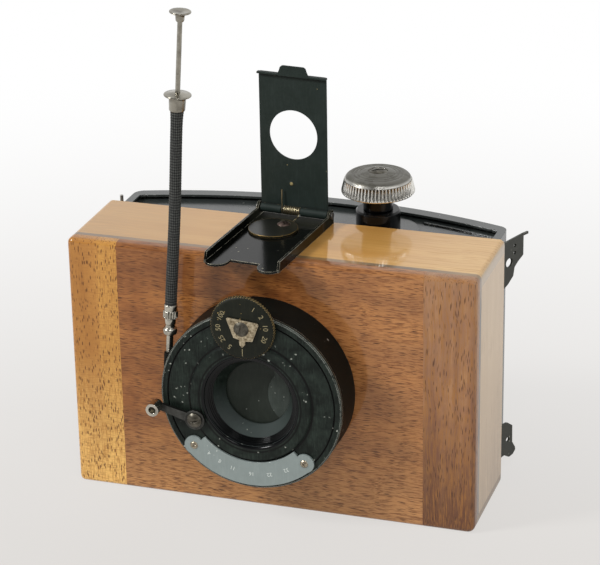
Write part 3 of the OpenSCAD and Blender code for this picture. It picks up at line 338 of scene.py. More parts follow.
def edges(add, soft, flat, sharp):
    """The direction of a surface whose edges are rounded, and the share of edge in it."""
    round_edge = add("Bevel", [soft * MM], samples=4)
    normal = add("NewGeometry", out="Normal")
    level = add("VectorMath", [round_edge, normal], operation="DOT_PRODUCT")
    return round_edge, add("MapRange", [level, flat, sharp])

def painted_groove_shade(add, reach, shallow, deep, most=1):
    """The share of painted shade in the grooves of a surface."""
    crease = add("AmbientOcclusion", {"Distance": reach * MM}, out="AO", samples=6, only_local=True)
    return add("MapRange", [crease, shallow, deep, 0, most])

def bare_metal(name, clean, tarnish, gloss, patch=2.5, share=0.5, soft=0.15, dull_top=0):
    """A metal with patches of tarnish; patch and the rounding of its edges are in mm."""
    finish, add = blank_finish(name)
    place = add("TexCoord", out="Object")
    cloud = add("TexNoise", [place, 1 / (patch * MM), 5, 0.62])
    stain = add("MapRange", [cloud, share - 0.14, share + 0.2])
    upward = add("SeparateXYZ", [add("NewGeometry", out="Normal")], out=UPRIGHT)
    upward = add("MapRange", [upward, 0.15, 0.7, 0, dull_top])
    stain = add("Math", [stain, upward], operation="ADD", use_clamp=True)
    round_edge, edge = edges(add, soft, 0.99, 0.9)
    dull = add("Math", [stain, edge], operation="SUBTRACT", use_clamp=True)
    tint = add("Mix", [dull, clean, tarnish], data_type="RGBA")
    # Grooves are painted dark brown: painted shade.
    shade_in_grooves = painted_groove_shade(add, METAL_GROOVE, 0.75, 0.35, 0.8)
    tint = add("Mix", [shade_in_grooves, tint, "#1A1815"], data_type="RGBA")
    rough = add("MapRange", [dull, 0, 1, gloss, gloss + 0.22])
    grain = add("TexNoise", [place, 1 / (POLISH_GRAIN * MM), 3])
    relief = add("Bump",
                 {"Height": grain, "Strength": 0.12, "Distance": 0.1 * MM, "Normal": round_edge})
    metal = add("BsdfPrincipled",
                {"Base Color": tint, "Metallic": 1, "Roughness": rough, "Normal": relief})
    add("OutputMaterial", [metal])
    return finish

print("a finish for bare metal")

# %% Metals of the camera
finishes = {
    # Nickel plate is a warm white metal; years of handling leave it satin with grey patches.
    "nickel": bare_metal(
        "Satin nickel plate, aged", "#9E9A8F", "#6C685F", gloss=0.18, patch=3.5, share=0.55),
    # Brass in the open browns; the pointer has gone the pale grey-yellow of old bare brass.
    "bright_brass": bare_metal(
        "Aged brass, unlacquered", "#CFC2A6", "#6A5A40", gloss=0.45, patch=0.9),
    # Brass inside the box stays a clear yellow, with a few brown patches.
    "gear_brass": bare_metal("Cut brass", "#C9A65A", "#8A6A30", gloss=0.3, patch=3),
    # Screws are blued by heat: dark steel with a brown cast and worn slots.
    "dark_screw": bare_metal(
        "Heat-blued screw steel", "#6E6A60", "#3E3B34", gloss=0.32, patch=1.8),
    # The lever's black has worn to dark bare steel, and shines dully along its edges.
    "lever_steel": bare_metal(
        "Blackened steel, worn", "#5E5E5B", "#363634", gloss=0.3, patch=4, share=0.45),
    # Pins and rods are plain steel: a middling grey with a soft shine.
    "pin_steel": bare_metal("Turned mild steel", "#A9A7A2", "#77736C", gloss=0.3, patch=2),
    # Phosphor bronze is drawn to wire bright and then browns; each turn keeps a thin line of light.
    "spring_wire": bare_metal(
        "Phosphor-bronze wire", "#B4A98A", "#6E644C", gloss=0.3, patch=1, share=0.56, soft=0.05),
    "cable_braid": braid,
}
# The sight's screw has gone the red-brown of light rust.
rusty_screw = bare_metal(
    "Screw steel, browned", "#786860", "#40322C", gloss=0.3, patch=1.6, share=0.45)
# The scale's screws have been turned lately, so their heads are bright.
turned_screw = bare_metal(
    "Screw steel, turned bright", "#B8AD98", "#6E6456", gloss=0.3, patch=0.9)
# The knob's upward-facing parts are darker, while the fingers keep its ribs bright.
knob_nickel = bare_metal(
    "Nickel plate, dull on top", "#E8E6E0", "#66645D", gloss=0.24, patch=4, share=0.66, soft=0.03,
    dull_top=0.95)
# Fingers keep the lever's stud and the release's ferrule polished, so they are paler than the rest.
rubbed_nickel = bare_metal(
    "Nickel plate, rubbed bright", "#C8C4B8", "#8E8A80", gloss=0.18, patch=3, share=0.55)
print("eleven bare metals")

# %% [markdown]
# ## The cable release
# A cable release is a stiff cable between two nickel fittings: a knurled ferrule that screws into
# the shutter and a collar for two fingers. The whole cable shows in the photograph, 67 mm of it. It
# is drawn up straight and leans a little, so a sweep along a nearly straight path makes it. Two
# sets of threads wind round it in opposite ways, and where one lies on top it stands proud.

# %% Braided cable
LEAN = math.radians(4)
release = Matrix.Translation(Vector((-31.752, -26.5, 56.647)) * MM) @ Matrix.Rotation(LEAN, 4, "Y")
CABLE_RADIUS, CABLE_BORE = 2, 1.2
CABLE_FROM, CABLE_TO = 17.5, 84.5
CABLE_RINGS, CABLE_AROUND = 420, 108
# The threads are drawn twice as coarse as real ones, so that the weave shows at this size.
THREADS, THREAD_PITCH, THREAD_PROUD = 18, 0.92, 0.2
# The cover is pushed together where it meets the collar.
BUNCH, BUNCH_LENGTH = 0.25, 6
BOW_HEIGHTS = [17.5, 20, 28, 36, 44, 52, 60, 68, 76, 84.5]
BOWS = [0, 0, 0.1, 0.2, 0.3, 0.3, 0.2, 0.1, 0, 0]

reach = np.linspace(CABLE_FROM, CABLE_TO, CABLE_RINGS)
bow = np.polyval(np.polyfit(BOW_HEIGHTS, BOWS, 4), reach)
route = [release @ (Vector((b, 0, s)) * MM) for b, s in zip(bow, reach)]
angle = np.linspace(0, 2 * np.pi, CABLE_AROUND, endpoint=False)[None, :]
wind = (reach[:, None] - CABLE_FROM) / THREAD_PITCH * np.pi
over = np.sin(angle * THREADS / 2 + wind) * np.sin(angle * THREADS / 2 - wind)
thread_height = 0.5 + 0.5 * over
bunched = BUNCH * np.clip((reach[:, None] - CABLE_TO + BUNCH_LENGTH) / BUNCH_LENGTH, 0, 1) ** 2
cable_radii = CABLE_RADIUS - THREAD_PROUD + THREAD_PROUD * thread_height + bunched
cable_rings = sweep(route, cable_radii * MM, CABLE_AROUND)
# The inner wire slides in the cable's bore, so the skin turns in at the top and runs back down it.
bore_rings = sweep(route, CABLE_BORE * MM, CABLE_AROUND)[::-19]
cable_mesh = skin("braided_cable", cable_rings + bore_rings + cable_rings[:1])
inner_heights = np.zeros((len(bore_rings) + 1, CABLE_AROUND))
thread_height = np.concatenate([thread_height, inner_heights])
kept = cable_mesh.attributes.new("thread_height", "FLOAT", "POINT")
kept.data.foreach_set("value", thread_height.astype(np.float32).ravel())
cable = piece("braided_cable", cable_mesh, braid, "camera", "cable_braid", "release_cable")
print("cable", len(cable_mesh.vertices), "points,", round(CABLE_TO - CABLE_FROM, 1), "mm long")

# %% [markdown]
# The fittings are turned from brass bar and nickelled. The ferrule has a thin thread at its foot, a
# bead, a neck and a slotted grip. The collar and the button swell out in a curve, so that fingers
# and thumb find them. A turner would work from a table of radii and heights, and so does the lathe.

# %% Nickel fittings of the release
GRIP_SLOTS = 15
FLANGE_AROUND = 72

ferrule_rows = [
    # the thread and the wire's tube
    (0.65, -1.9), (0.68, -0.1), (1.1, 0), (1.2, 0.15), (1.2, 6.3), (1.25, 6.5),
    # the bead
    (1.7, 6.75), (2.2, 7.05), (2.36, 7.5), (2.36, 8.5), (2.2, 8.95), (1.7, 9.2),
    # the neck
    (1.6, 9.35), (1.58, 10.3), (1.7, 10.45), (1.86, 10.6), (1.88, 12.2), (1.8, 12.4), (1.8, 12.55),
    # the slotted grip
    (2.3, 12.75), (2.45, 12.9, 0.05), (2.5, 13.1, 0.45), (2.5, 15, 0.45), (2.45, 15.25, 0.05),
    # the cup that holds the cable, and the bore
    (2.25, 15.4), (2.15, 15.5), (2.2, 15.65), (2.22, 17.2), (2.12, 17.45), (2, 17.5), (0.6, 17.5),
    (0.6, 0.8),
]
ferrule_mesh = turned("knurled_ferrule", ferrule_rows, GRIP_SLOTS * 10, release, GRIP_SLOTS)
piece("knurled_ferrule", ferrule_mesh, rubbed_nickel, "camera", "nickel", "cable_ferrule")

collar_place = release @ Matrix.Translation((0, 0, CABLE_TO * MM))
collar_rows = [
    (0.87, 0), (2.2, 0), *bend((2.25, 0.35), 0.35, -80, 0, 4), (2.72, 3.4),
    *bend((3.85, 3.8), 1.1, 180, 105, 7), (4.05, 4.95), *bend((4.15, 5.2), 0.3, -60, 75, 8),
    (3.6, 5.55), (2.2, 5.85), (1.7, 6), (0.87, 6),
]
collar_mesh = turned("finger_flange", collar_rows + collar_rows[:1], FLANGE_AROUND, collar_place,
                     closed=(False, False))
collar = piece("finger_flange", collar_mesh, finishes["nickel"], "camera", "nickel", "finger_collar")

button_rows = [
    (0.82, 113.9), (1.2, 113.9), (1.4, 114.3), (1.45, 115.1),
    *bend((2.95, 115.2), 1.5, 180, 110, 7), (3, 116.7), *bend((3.2, 117), 0.3, -70, 90, 7),
    (2.6, 117.2), (1.4, 117.05), (0.2, 117),
]
button_mesh = turned("plunger_cap", button_rows, FLANGE_AROUND, release, closed=(False, True))
piece("plunger_cap", button_mesh, finishes["nickel"], "plunger", "nickel", "plunger_button")

print("ferrule with", GRIP_SLOTS, "slots, collar and button")

# %% [markdown]
# ## Varnished wood
# Four woods meet on the box. All are planed, glued and varnished, and the eye reads three things:
# long soft bands where the tree grew faster or slower, fine fibres along the grain, and pores,
# which are cut open as short dark dashes. Noise stretched along the grain makes the first two.
# Cells stretched along the grain, each with a dark heart, make the pores. Broad washes of colour
# follow, for what stain and light have done, and a patchy grey-brown line shows where the front
# panel is glued to the body. A clear coat over it all is the varnish.

# %% Wood finish
# The grain sways a little: the length of a wave and how far it reaches, in mm.
SWAY_LENGTH, SWAY = 16, 2.2
SEAM_PATCH, SEAM_BLUR = 20, 0.12

def varnished_wood(name, along, pale, deep, streak, pore, fibre, band, pores, pore_share,
                   mottle=None, rays=None, zones=(), end=None, seam=None, coat=0.7):
    """Wood whose grain runs along an axis; fibre, band and pores are each a length and a width in mm.

    Mottle is a size, a colour and a share; rays are a length, a width, a colour and a share. A zone
    is an axis, the places where it starts and is full, a colour and a share. End is the colour of cut
    ends; a seam is a colour and how far back it goes. Real fibres and pores are 0.1 to 0.2 mm wide,
    and are drawn two or three times as wide, so that they show at this size.
    """
    finish, add = blank_finish(name)
    place = add("TexCoord", out="Object")
    sway = add("TexNoise", [place, 1 / (SWAY_LENGTH * MM), 1], out="Color")
    sway = add("VectorMath", [sway, (0.5, 0.5, 0.5)], operation="SUBTRACT")
    sway = add("VectorMath", [sway, SWAY * MM], operation="SCALE")
    wavy = add("VectorMath", [place, sway], operation="ADD")

    def stretched(length, width):
        scale = [1 / (width * MM)] * 3
        scale[along] = 1 / (length * MM)
        return add("Mapping", {"Vector": wavy, "Scale": scale})

    bands = add("TexNoise", [stretched(*band), 1, 3, 0.55])
    bands = add("MapRange", [bands, 0.3, 0.7])
    tone = add("Mix", [bands, pale, deep], data_type="RGBA")

    # Each wash is a share and a colour, and lies over those before it.
    washes = []
    if mottle:
        size, colour, most = mottle
        cloud = add("TexNoise", [wavy, 1 / (size * MM), 4, 0.6])
        cloud = add("MapRange", [cloud, 0.4, 0.66, 0, most])
        washes.append((cloud, colour))
    for axis, start, full, colour, most in zones:
        along_axis = add("SeparateXYZ", [wavy], out=axis)
        part = add("MapRange", [along_axis, start * MM, full * MM, 0, most])
        washes.append((part, colour))
    if rays:
        length, width, colour, most = rays
        fleck = add("TexNoise", [stretched(length, width), 1, 2])
        fleck = add("MapRange", [fleck, 0.45, 0.7, 0, most])
        washes.append((fleck, colour))
    fibres = add("TexNoise", [stretched(*fibre), 1, 4, 0.65])
    lines = add("MapRange", [fibres, 0.46, 0.64, 0, 0.8])
    cell = add("TexVoronoi", [stretched(*pores), 1])
    heart = add("MapRange", [cell, 0.37, 0.22])
    chance = add("SeparateColor", [cell.node.outputs["Color"]])
    open_pore = add("MapRange", [chance, 1 - pore_share, 1.25 - pore_share])
    hollow = add("Math", [heart, open_pore], operation="MULTIPLY")
    washes += [(lines, streak), (hollow, pore)]
    if end:
        facing = add("SeparateXYZ", [add("NewGeometry", out="Normal")], out=along)
        facing = add("Math", [facing], operation="ABSOLUTE")
        cut_end = add("MapRange", [facing, 0.75, 0.95, 0, 0.8])
        washes.append((cut_end, end))
    if seam:
        colour, back = seam
        depth = add("SeparateXYZ", [place], out=BACKWARD)
        glue = add("MapRange", [depth, (back + SEAM_BLUR) * MM, back * MM])
        patchy = add("TexNoise", [place, 1 / (SEAM_PATCH * MM), 3])
        patchy = add("MapRange", [patchy, 0.3, 0.65, 0.55])
        glue = add("Math", [glue, patchy], operation="MULTIPLY")
        washes.append((glue, colour))
    for share, colour in washes:
        tone = add("Mix", [share, tone, colour], data_type="RGBA")

    dip = add("Math", [hollow, -1], operation="MULTIPLY")
    relief = add("Bump", {"Height": dip, "Strength": 0.2, "Distance": 0.1 * MM})
    wood = add("BsdfPrincipled",
               {"Base Color": tone, "Roughness": 0.5, "Specular IOR Level": 0.15, "Normal": relief,
                "Coat Weight": coat, "Coat Roughness": 0.07, "Coat IOR": 1.5})
    add("OutputMaterial", [wood])
    return finish

print("a finish for varnished wood")

# %% Woods of the camera
SEAM_BACK = -12.5
finishes.update({
    # Mahogany: red-brown, with short fine dashes along a level grain, clouded with darker red.
    "mahogany_panel": varnished_wood(
        "Varnished mahogany", ACROSS, "#AE723A", "#80502A", streak="#663818", pore="#43220C",
        fibre=(4.5, 0.36), band=(40, 7), pores=(4.2, 0.33), pore_share=0.65,
        mottle=(11, "#6E3A16", 0.5),
        # Painted light: the panel is painted lighter towards its foot, from the bright floor, and its
        # right.
        zones=[(UPRIGHT, 32, 0, "#D09C62", 0.55), (ACROSS, 5, 45, "#BC8858", 0.4)]),
    # A golden hardwood with large open pores, cut so that they stand upright; its inner side is
    # paler,
    # and its foot is painted paler still: painted light from the bright floor.
    "golden_strip": varnished_wood(
        "Varnished iroko", UPRIGHT, "#B8823E", "#9A652A", streak="#A87232", pore="#5E360F",
        fibre=(4, 0.4), band=(50, 4.5), pores=(2.4, 0.58), pore_share=0.85,
        rays=(0.45, 2.6, "#8E5A26", 0.5),
        zones=[(ACROSS, -60.6, -59.2, "#D09C4A", 0.45), (UPRIGHT, 50, 0, "#F8CA76", 0.76)]),
    # Walnut: cool brown with golden threads, fine dark pores and a darker foot.
    "walnut_strip": varnished_wood(
        "Varnished walnut", UPRIGHT, "#A2754E", "#744A2E", streak="#96642E", pore="#482A16",
        fibre=(8, 0.42), band=(60, 2.6), pores=(4, 0.38), pore_share=0.65,
        mottle=(6, "#6C443A", 0.45),
        zones=[(UPRIGHT, 35, 85, "#B48C68", 0.35), (UPRIGHT, 45, 5, "#522C16", 0.76)]),
    # A pale, fine-grained wood under thick varnish; its cut ends drink the varnish and go grey.
    "pale_board": varnished_wood(
        "Varnished ramin", ACROSS, "#CA9A54", "#BA8642", streak="#B98944", pore="#A67C44",
        fibre=(30, 0.7), band=(120, 6), pores=(9, 0.7), pore_share=0.15,
        zones=[(ACROSS, -5, -60, "#9A7234", 0.62), (ACROSS, 30, 60, "#E4C48C", 0.4)],
        end="#A8957C", seam=("#574837", SEAM_BACK), coat=1),
    # The film spools are turned beech: a plain, even brown.
    "spool_wood": varnished_wood(
        "Turned beech", UPRIGHT, "#9C7448", "#84603A", streak="#7A5632", pore="#4E351C",
        fibre=(20, 0.6), band=(50, 5), pores=(4, 0.8), pore_share=0.4),
})
# The sides are the lid's wood with its grain upright: a quiet, greyer board, darker at its foot.
side_board = varnished_wood(
    "Varnished ramin, upright grain", UPRIGHT, "#CDB08A", "#BE9F78", streak="#C4A680",
    pore="#A3855E", fibre=(40, 0.6), band=(120, 5), pores=(9, 0.8), pore_share=0.25,
    zones=[(UPRIGHT, 55, 5, "#94795A", 0.7)], seam=("#4E4A44", SEAM_BACK), coat=0.8)
# The base is the same wood; its cut ends are grey like the lid's and painted darker as painted shade.
base_board = varnished_wood(
    "Varnished ramin, ends grey and in painted shade", ACROSS, "#CA9A54", "#BA8642", streak="#C0904C", pore="#9C7440",
    fibre=(40, 0.6), band=(120, 6), pores=(9, 0.8), pore_share=0.25, end="#76695A", coat=0.6)
print("seven cuts of wood")

# %% [markdown]
# ## The wooden box
# The three pieces of the front panel lie flush, and only their outer edges were rounded, with a
# router and then sandpaper. A Bevel modifier would round the glue joints as well. So each board is
# made as a block whose chosen edges are rounded, and the two boards with holes are drilled.

# %% Planing and drilling
BOARD_CREASE = math.radians(30)
PEG_HALF, PEG_AROUND = 20, 96

def planed_board(name, low, high, *rounds):
    """A block in mm; each round is a test of an edge's two ends, a radius and a number of steps."""
    shape = bmesh.new()
    bmesh.ops.create_cube(shape, size=1)
    for vertex in shape.verts:
        vertex.co = [(a + (b - a) * (c + 0.5)) * MM for a, b, c in zip(low, high, vertex.co)]
    for test, radius, steps in rounds:
        chosen = []
        for edge in shape.edges:
            ends = [tuple(v / MM for v in vertex.co) for vertex in edge.verts]
            if test(*ends):
                chosen.append(edge)
        bmesh.ops.bevel(shape, geom=chosen, offset=radius * MM, segments=steps, profile=0.5,
                        affect="EDGES")
    mesh = bpy.data.meshes.new(name)
    shape.to_mesh(mesh)
    shape.free()
    return smoothed(mesh, BOARD_CREASE)

def drilled(mesh, middle, axis, radius):
    """A copy of a mesh with a round hole, cut by a Boolean with a peg; sizes in mm."""
    turn = Vector((0, 0, 1)).rotation_difference(Vector(axis)).to_matrix().to_4x4()
    place = Matrix.Translation(Vector(middle) * MM) @ turn
    peg_mesh = turned("peg", [(radius, -PEG_HALF), (radius, PEG_HALF)], PEG_AROUND, place)
    peg, work = placed("peg", peg_mesh), placed("work", mesh)
    cutter = work.modifiers.new("hole", "BOOLEAN")
    cutter.operation = "DIFFERENCE"
    cutter.object = peg
    result = work.evaluated_get(bpy.context.evaluated_depsgraph_get())
    made = bpy.data.meshes.new_from_object(result)
    for thing in (peg, work):
        bpy.data.objects.remove(thing)
    return smoothed(made, BOARD_CREASE)

print("plane and drill are ready")

# %% Boards of the box
HALF_WIDTH, HEIGHT, THICKNESS = 70, 90, 4.5
FRONT, PANEL_BACK, BACK = -18.5, -14.5, 18.5
JOINT = 52.5
# The shutter's axis, across and up, and the holes for its thread and for the tripod bush.
SHUTTER = (-1.4, 45.6)
SHUTTER_HOLE, BUSH_HOLE = 12.05, 5.02

def near(a, b):
    """Whether two lengths in mm are the same."""
    return abs(a - b) < 0.01

def outer_corner(x, z):
    """A test for the edge that runs from front to back at one outer corner of the box."""
    return lambda a, b: all(near(end[0], x) and near(end[2], z) for end in (a, b))

def on_front(a, b):
    """An edge round the front face, apart from the glue joints."""
    joint = near(abs(a[0]), JOINT) and near(abs(b[0]), JOINT) and near(a[0], b[0])
    return near(a[1], FRONT) and near(b[1], FRONT) and not joint

front_round = (on_front, 1.7, 5)
# The corners were sanded by eye, so no two have the same radius.
upper_left = (outer_corner(-HALF_WIDTH, HEIGHT), 2, 6)
lower_left = (outer_corner(-HALF_WIDTH, 0), 1.9, 5)
upper_right = (outer_corner(HALF_WIDTH, HEIGHT), 1.8, 5)
lower_right = (outer_corner(HALF_WIDTH, 0), 2.6, 6)

panel = planed_board(
    "front_panel_wood", (-JOINT, FRONT, 0), (JOINT, PANEL_BACK, HEIGHT), front_round)
panel_middle = (SHUTTER[0], (FRONT + PANEL_BACK) / 2, SHUTTER[1])
panel = drilled(panel, panel_middle, (0, 1, 0), SHUTTER_HOLE)
piece("front_panel_wood", panel, finishes["mahogany_panel"], "camera", "mahogany_panel",
      "front_panel")
for name, low, high, slot, node, rounds in (
    ("left_strip_wood", -HALF_WIDTH, -JOINT, "golden_strip", "front_strip_left",
     (upper_left, lower_left)),
    ("right_strip_wood", JOINT, HALF_WIDTH, "walnut_strip", "front_strip_right",
     (upper_right, lower_right)),
):
    strip = planed_board(name, (low, FRONT, 0), (high, PANEL_BACK, HEIGHT), *rounds, front_round)
    piece(name, strip, finishes[slot], "camera", slot, node)
lid = planed_board("lid_wood", (-HALF_WIDTH, PANEL_BACK, HEIGHT - THICKNESS),
                   (HALF_WIDTH, BACK, HEIGHT), upper_left, upper_right)
piece("lid_wood", lid, finishes["pale_board"], "camera", "pale_board", "top_board")
base = planed_board("base_wood", (-HALF_WIDTH, PANEL_BACK, 0), (HALF_WIDTH, BACK, THICKNESS),
                    lower_left, lower_right)
base = drilled(base, (0, 0, 2), (0, 0, 1), BUSH_HOLE)
piece("base_wood", base, base_board, "camera", "pale_board", "bottom_board")
print("panel, two strips, lid and base")

# %% [markdown]
# ## Black enamel
# The shutter, the sight and the film back are pressed steel and brass with baked black enamel. Seen
# close, it is a very dark green-grey with a fine orange peel. Where hands and pockets rubbed it,
# the edges show bare metal, and knocks have left pale chips. Edges come from the Bevel node, broken
# up by noise, and chips are the hearts of scattered cells.

# %% Rubbed edges, chips and turned faces
RUB, CROWD, NICK = 2.2, 9, 0.6
# How far a well's painted sheen fades in from its edge, how high it ends and how low it is full, in
# mm.
SHEEN_BLUR, SHEEN_TOP, SHEEN_FOOT = 0.4, 3, -9
# How far a ring of painted shade reaches to either side, and how far it is fully dark, in mm.
SHADE_RING_REACH, SHADE_RING_DARK = 0.4, 0.15

def rubbed_edges(add, place, soft, wear):
    """The direction of a surface with rounded edges, and the share of bare metal along them."""
    round_edge, edge = edges(add, soft, 0.995, 0.86)
    rub = add("TexNoise", [place, 1 / (RUB * MM), 6, 0.7])
    rub = add("MapRange", [rub, 0.72 - 0.4 * wear, 0.8 - 0.4 * wear])
    return round_edge, add("Math", [edge, rub], operation="MULTIPLY")

def knocked_chips(add, place, chips, gap, crowd):
    """The share of bare metal in ragged chips, which stand together unless crowd is nought."""
    crowded = add("TexNoise", [place, 1 / (CROWD * MM), 1])
    crowded = add("MapRange", [crowded, crowd, crowd + 0.07])
    cell = add("TexVoronoi", [place, 1 / (gap * MM)])
    nick = add("TexNoise", [place, 1 / (NICK * MM), 3])
    ragged = add("Math", [nick, 0.7, cell], operation="MULTIPLY_ADD")
    heart = add("MapRange", [ragged, 0.52, 0.44])
    chance = add("SeparateColor", [cell.node.outputs["Color"]])
    struck = add("MapRange", [chance, 1 - chips, 1.02 - chips])
    chip = add("Math", [heart, struck], operation="MULTIPLY")
    return add("Math", [chip, crowded], operation="MULTIPLY")

def turned_face(add, place, coat, bare, rim, painted_well_sheen, shade_rings):
    """The coat and bare metal of a round face; the next cell says what rim, sheen and shade rings
    are.
    """
    middle, axis, inner, outer = rim
    across = [0 if i == axis else 1 for i in range(3)]
    away = add("VectorMath", [place, Vector(middle) * MM], operation="SUBTRACT")
    away = add("VectorMath", [away, across], operation="MULTIPLY")
    radius = add("VectorMath", [away], operation="LENGTH")
    # The lower half of the well is painted a lighter colour: a painted sheen.
    if painted_well_sheen:
        size, colour = painted_well_sheen
        painted_sheen = add("MapRange", [radius, size * MM, (size - SHEEN_BLUR) * MM])
        below = add("SeparateXYZ", [away], out=UPRIGHT)
        below = add("MapRange", [below, SHEEN_TOP * MM, SHEEN_FOOT * MM])
        painted_sheen = add("Math", [painted_sheen, below], operation="MULTIPLY")
        coat = add("Mix", [painted_sheen, coat, colour], data_type="RGBA")
    # Thin rings are painted near black: painted shade at the steps of the face.
    for cut in shade_rings:
        off = add("Math", [radius, cut * MM], operation="SUBTRACT")
        off = add("Math", [off], operation="ABSOLUTE")
        shade_ring_share = add("MapRange", [off, SHADE_RING_REACH * MM, SHADE_RING_DARK * MM])
        coat = add("Mix", [shade_ring_share, coat, "#020302"], data_type="RGBA")
    held = add("MapRange", [radius, inner * MM, outer * MM])
    return coat, add("Math", [bare, held], operation="MULTIPLY")

print("edges, chips and turned faces are ready")

# %% Enamel finish
FADED_PATCH, ENAMEL_GROOVE = 5, 1.1
SCUFF_WIDTH, SCUFF_LENGTH = 0.5, 4
# Orange peel is a ripple of some tenths of a millimetre, drawn a little coarser so that it shows.
PEEL = 0.6
DIRT_ROUGHNESS, BARE_ROUGHNESS, BARE_METALLIC = 0.75, 0.42, 0.7

def worn_enamel(name, paint, faded, metal, rough, shine, wear, chips, soft=0.3, gap=2.2,
                dust=0.35, crowd=0.57, rim=None, spot=None, painted_well_sheen=None, dirt=None, shade_rings=()):
    """Enamel over metal; wear and chips are shares from 0 to 1, and sizes are in mm.

    A rim is a point, the axis through it, and the two radii between which rubbing sets in. A
    painted well sheen is a radius on that face and the colour of a painted sheen on its lower half,
    and shade rings are the radii of thin rings of painted shade there. A spot is a point and a radius
    where the metal is bare. Dirt is an axis, where it starts and is full, and a colour.
    """
    finish, add = blank_finish(name)
    place = add("TexCoord", out="Object")
    cloud = add("TexNoise", [place, 1 / (FADED_PATCH * MM), 6, 0.7])
    patch = add("MapRange", [cloud, 0.4, 0.75, 0, dust])
    scuff_scale = [1 / (size * MM) for size in (SCUFF_WIDTH, SCUFF_WIDTH, SCUFF_LENGTH)]
    drawn = add("Mapping", {"Vector": place, "Scale": scuff_scale})
    scuff = add("TexNoise", [drawn, 1, 3])
    scuff = add("MapRange", [scuff, 0.5, 0.8, 0, dust])
    patch = add("Math", [patch, scuff], operation="ADD")
    coat = add("Mix", [patch, paint, faded], data_type="RGBA")
    # Grooves and inner corners are painted near black: painted shade.
    shade_in_grooves = painted_groove_shade(add, ENAMEL_GROOVE, 0.93, 0.62)
    coat = add("Mix", [shade_in_grooves, coat, "#050605"], data_type="RGBA")

    round_edge, bare = rubbed_edges(add, place, soft, wear)
    if rim:
        coat, bare = turned_face(add, place, coat, bare, rim, painted_well_sheen, shade_rings)
    gloss = rough
    if dirt:
        axis, start, full, colour = dirt
        depth = add("SeparateXYZ", [place], out=axis)
        settled = add("MapRange", [depth, start * MM, full * MM])
        coat = add("Mix", [settled, coat, colour], data_type="RGBA")
        gloss = add("Mix", [settled, rough, DIRT_ROUGHNESS])
    chip = knocked_chips(add, place, chips, gap, crowd)
    bare = add("Math", [bare, chip], operation="MAXIMUM")
    if spot:
        middle, radius = spot
        off = add("VectorMath", [place, Vector(middle) * MM], operation="DISTANCE")
        off = add("MapRange", [off, radius * MM, 0.8 * radius * MM])
        bare = add("Math", [bare, off], operation="MAXIMUM")

    colour = add("Mix", [bare, coat, metal], data_type="RGBA")
    metallic = add("Math", [bare, BARE_METALLIC], operation="MULTIPLY")
    roughness = add("Mix", [bare, gloss, BARE_ROUGHNESS])
    peel = add("TexNoise", [place, 1 / (PEEL * MM), 3])
    height = add("Math", [bare, -1.5, peel], operation="MULTIPLY_ADD")
    relief = add("Bump",
                 {"Height": height, "Strength": 0.2, "Distance": 0.08 * MM, "Normal": round_edge})
    enamel = add("BsdfPrincipled",
                 {"Base Color": colour, "Metallic": metallic, "Roughness": roughness,
                  "Specular IOR Level": shine, "Normal": relief})
    add("OutputMaterial", [enamel])
    return finish

print("a finish for worn enamel")

# %% Enamels of the shutter
# The speed dial's axis, across and up.
DIAL = (-2.681, 72.770)
finishes.update({
    # Baked enamel: a dull, deep black with a few pale scratches along its edges.
    "black_enamel": worn_enamel(
        "Baked black enamel, worn", "#090C0A", "#171C18", "#B9BBB4", rough=0.5, shine=0.1,
        wear=0.4, chips=0.2),
    # The dial's lacquer is browner, and fingers have worn its teeth to yellow brass.
    "dial_black": worn_enamel(
        "Black lacquer on brass", "#141711", "#2C2C20", "#C8AC70", rough=0.45, shine=0.16, wear=1,
        chips=0.5, soft=0.35, gap=1.3, rim=((DIAL[0], 0, DIAL[1]), BACKWARD, 9.5, 10.2)),
    # The blades are thin dark steel, a soft green-grey in the light.
    "blade_steel": worn_enamel(
        "Blackened spring steel", "#232923", "#363C36", "#9DA39C", rough=0.55, shine=0.25, wear=0.3,
        chips=0.3, soft=0.1, gap=1.4),
    # The aperture scale is bare and grey, between pewter and slate.
    "scale_steel": worn_enamel(
        "Etched zinc-grey steel", "#7C8684", "#909A98", "#C3C8C4", rough=0.42, shine=0.45, wear=0.4,
        chips=0.4, soft=0.15, gap=1.6),
    # Inside, a flat lacquer swallows stray light: black without a shine.
    "inner_black": worn_enamel(
        "Matt black lacquer", "#101112", "#1B1C1D", "#8A8A86", rough=0.75, shine=0.2, wear=0.15,
        chips=0.1, soft=0.2),
})
# The shutter's rim is rubbed to a bright ring and its face is chipped. The lower half of its well
# is painted lighter grey as a painted sheen, and two thin rings on its face are painted shade.
case_enamel = worn_enamel(
    "Baked black enamel, rim rubbed bare", "#0B120E", "#303B34", "#B0B4AB", rough=0.42, shine=0.2,
    wear=0.85, chips=0.7, soft=0.5, gap=1.9, dust=0.55, crowd=0.52,
    rim=((SHUTTER[0], 0, SHUTTER[1]), BACKWARD, 29, 30.2), painted_well_sheen=(16.2, "#39403E"), shade_rings=(17.5, 21.2))
# The mouth's lip was polished: pure black, with sharp glints along its crests.
mouth_enamel = worn_enamel(
    "Polished black enamel, turned", "#050607", "#0E1112", "#B9BAB4", rough=0.16, shine=0.22,
    wear=0.2, chips=0, soft=0.1, gap=1.6)
# One blade is painted lighter than the other, as painted light, and shows its dust as grey speckles.
dusty_lit_blade = worn_enamel(
    "Blackened spring steel, dusty, painted lighter", "#343B36", "#464D48", "#A9AEA6", rough=0.6, shine=0.25,
    wear=0.3, chips=0.6, soft=0.1, gap=1.1, dust=0.6, crowd=0)
print("eight coats for the shutter")

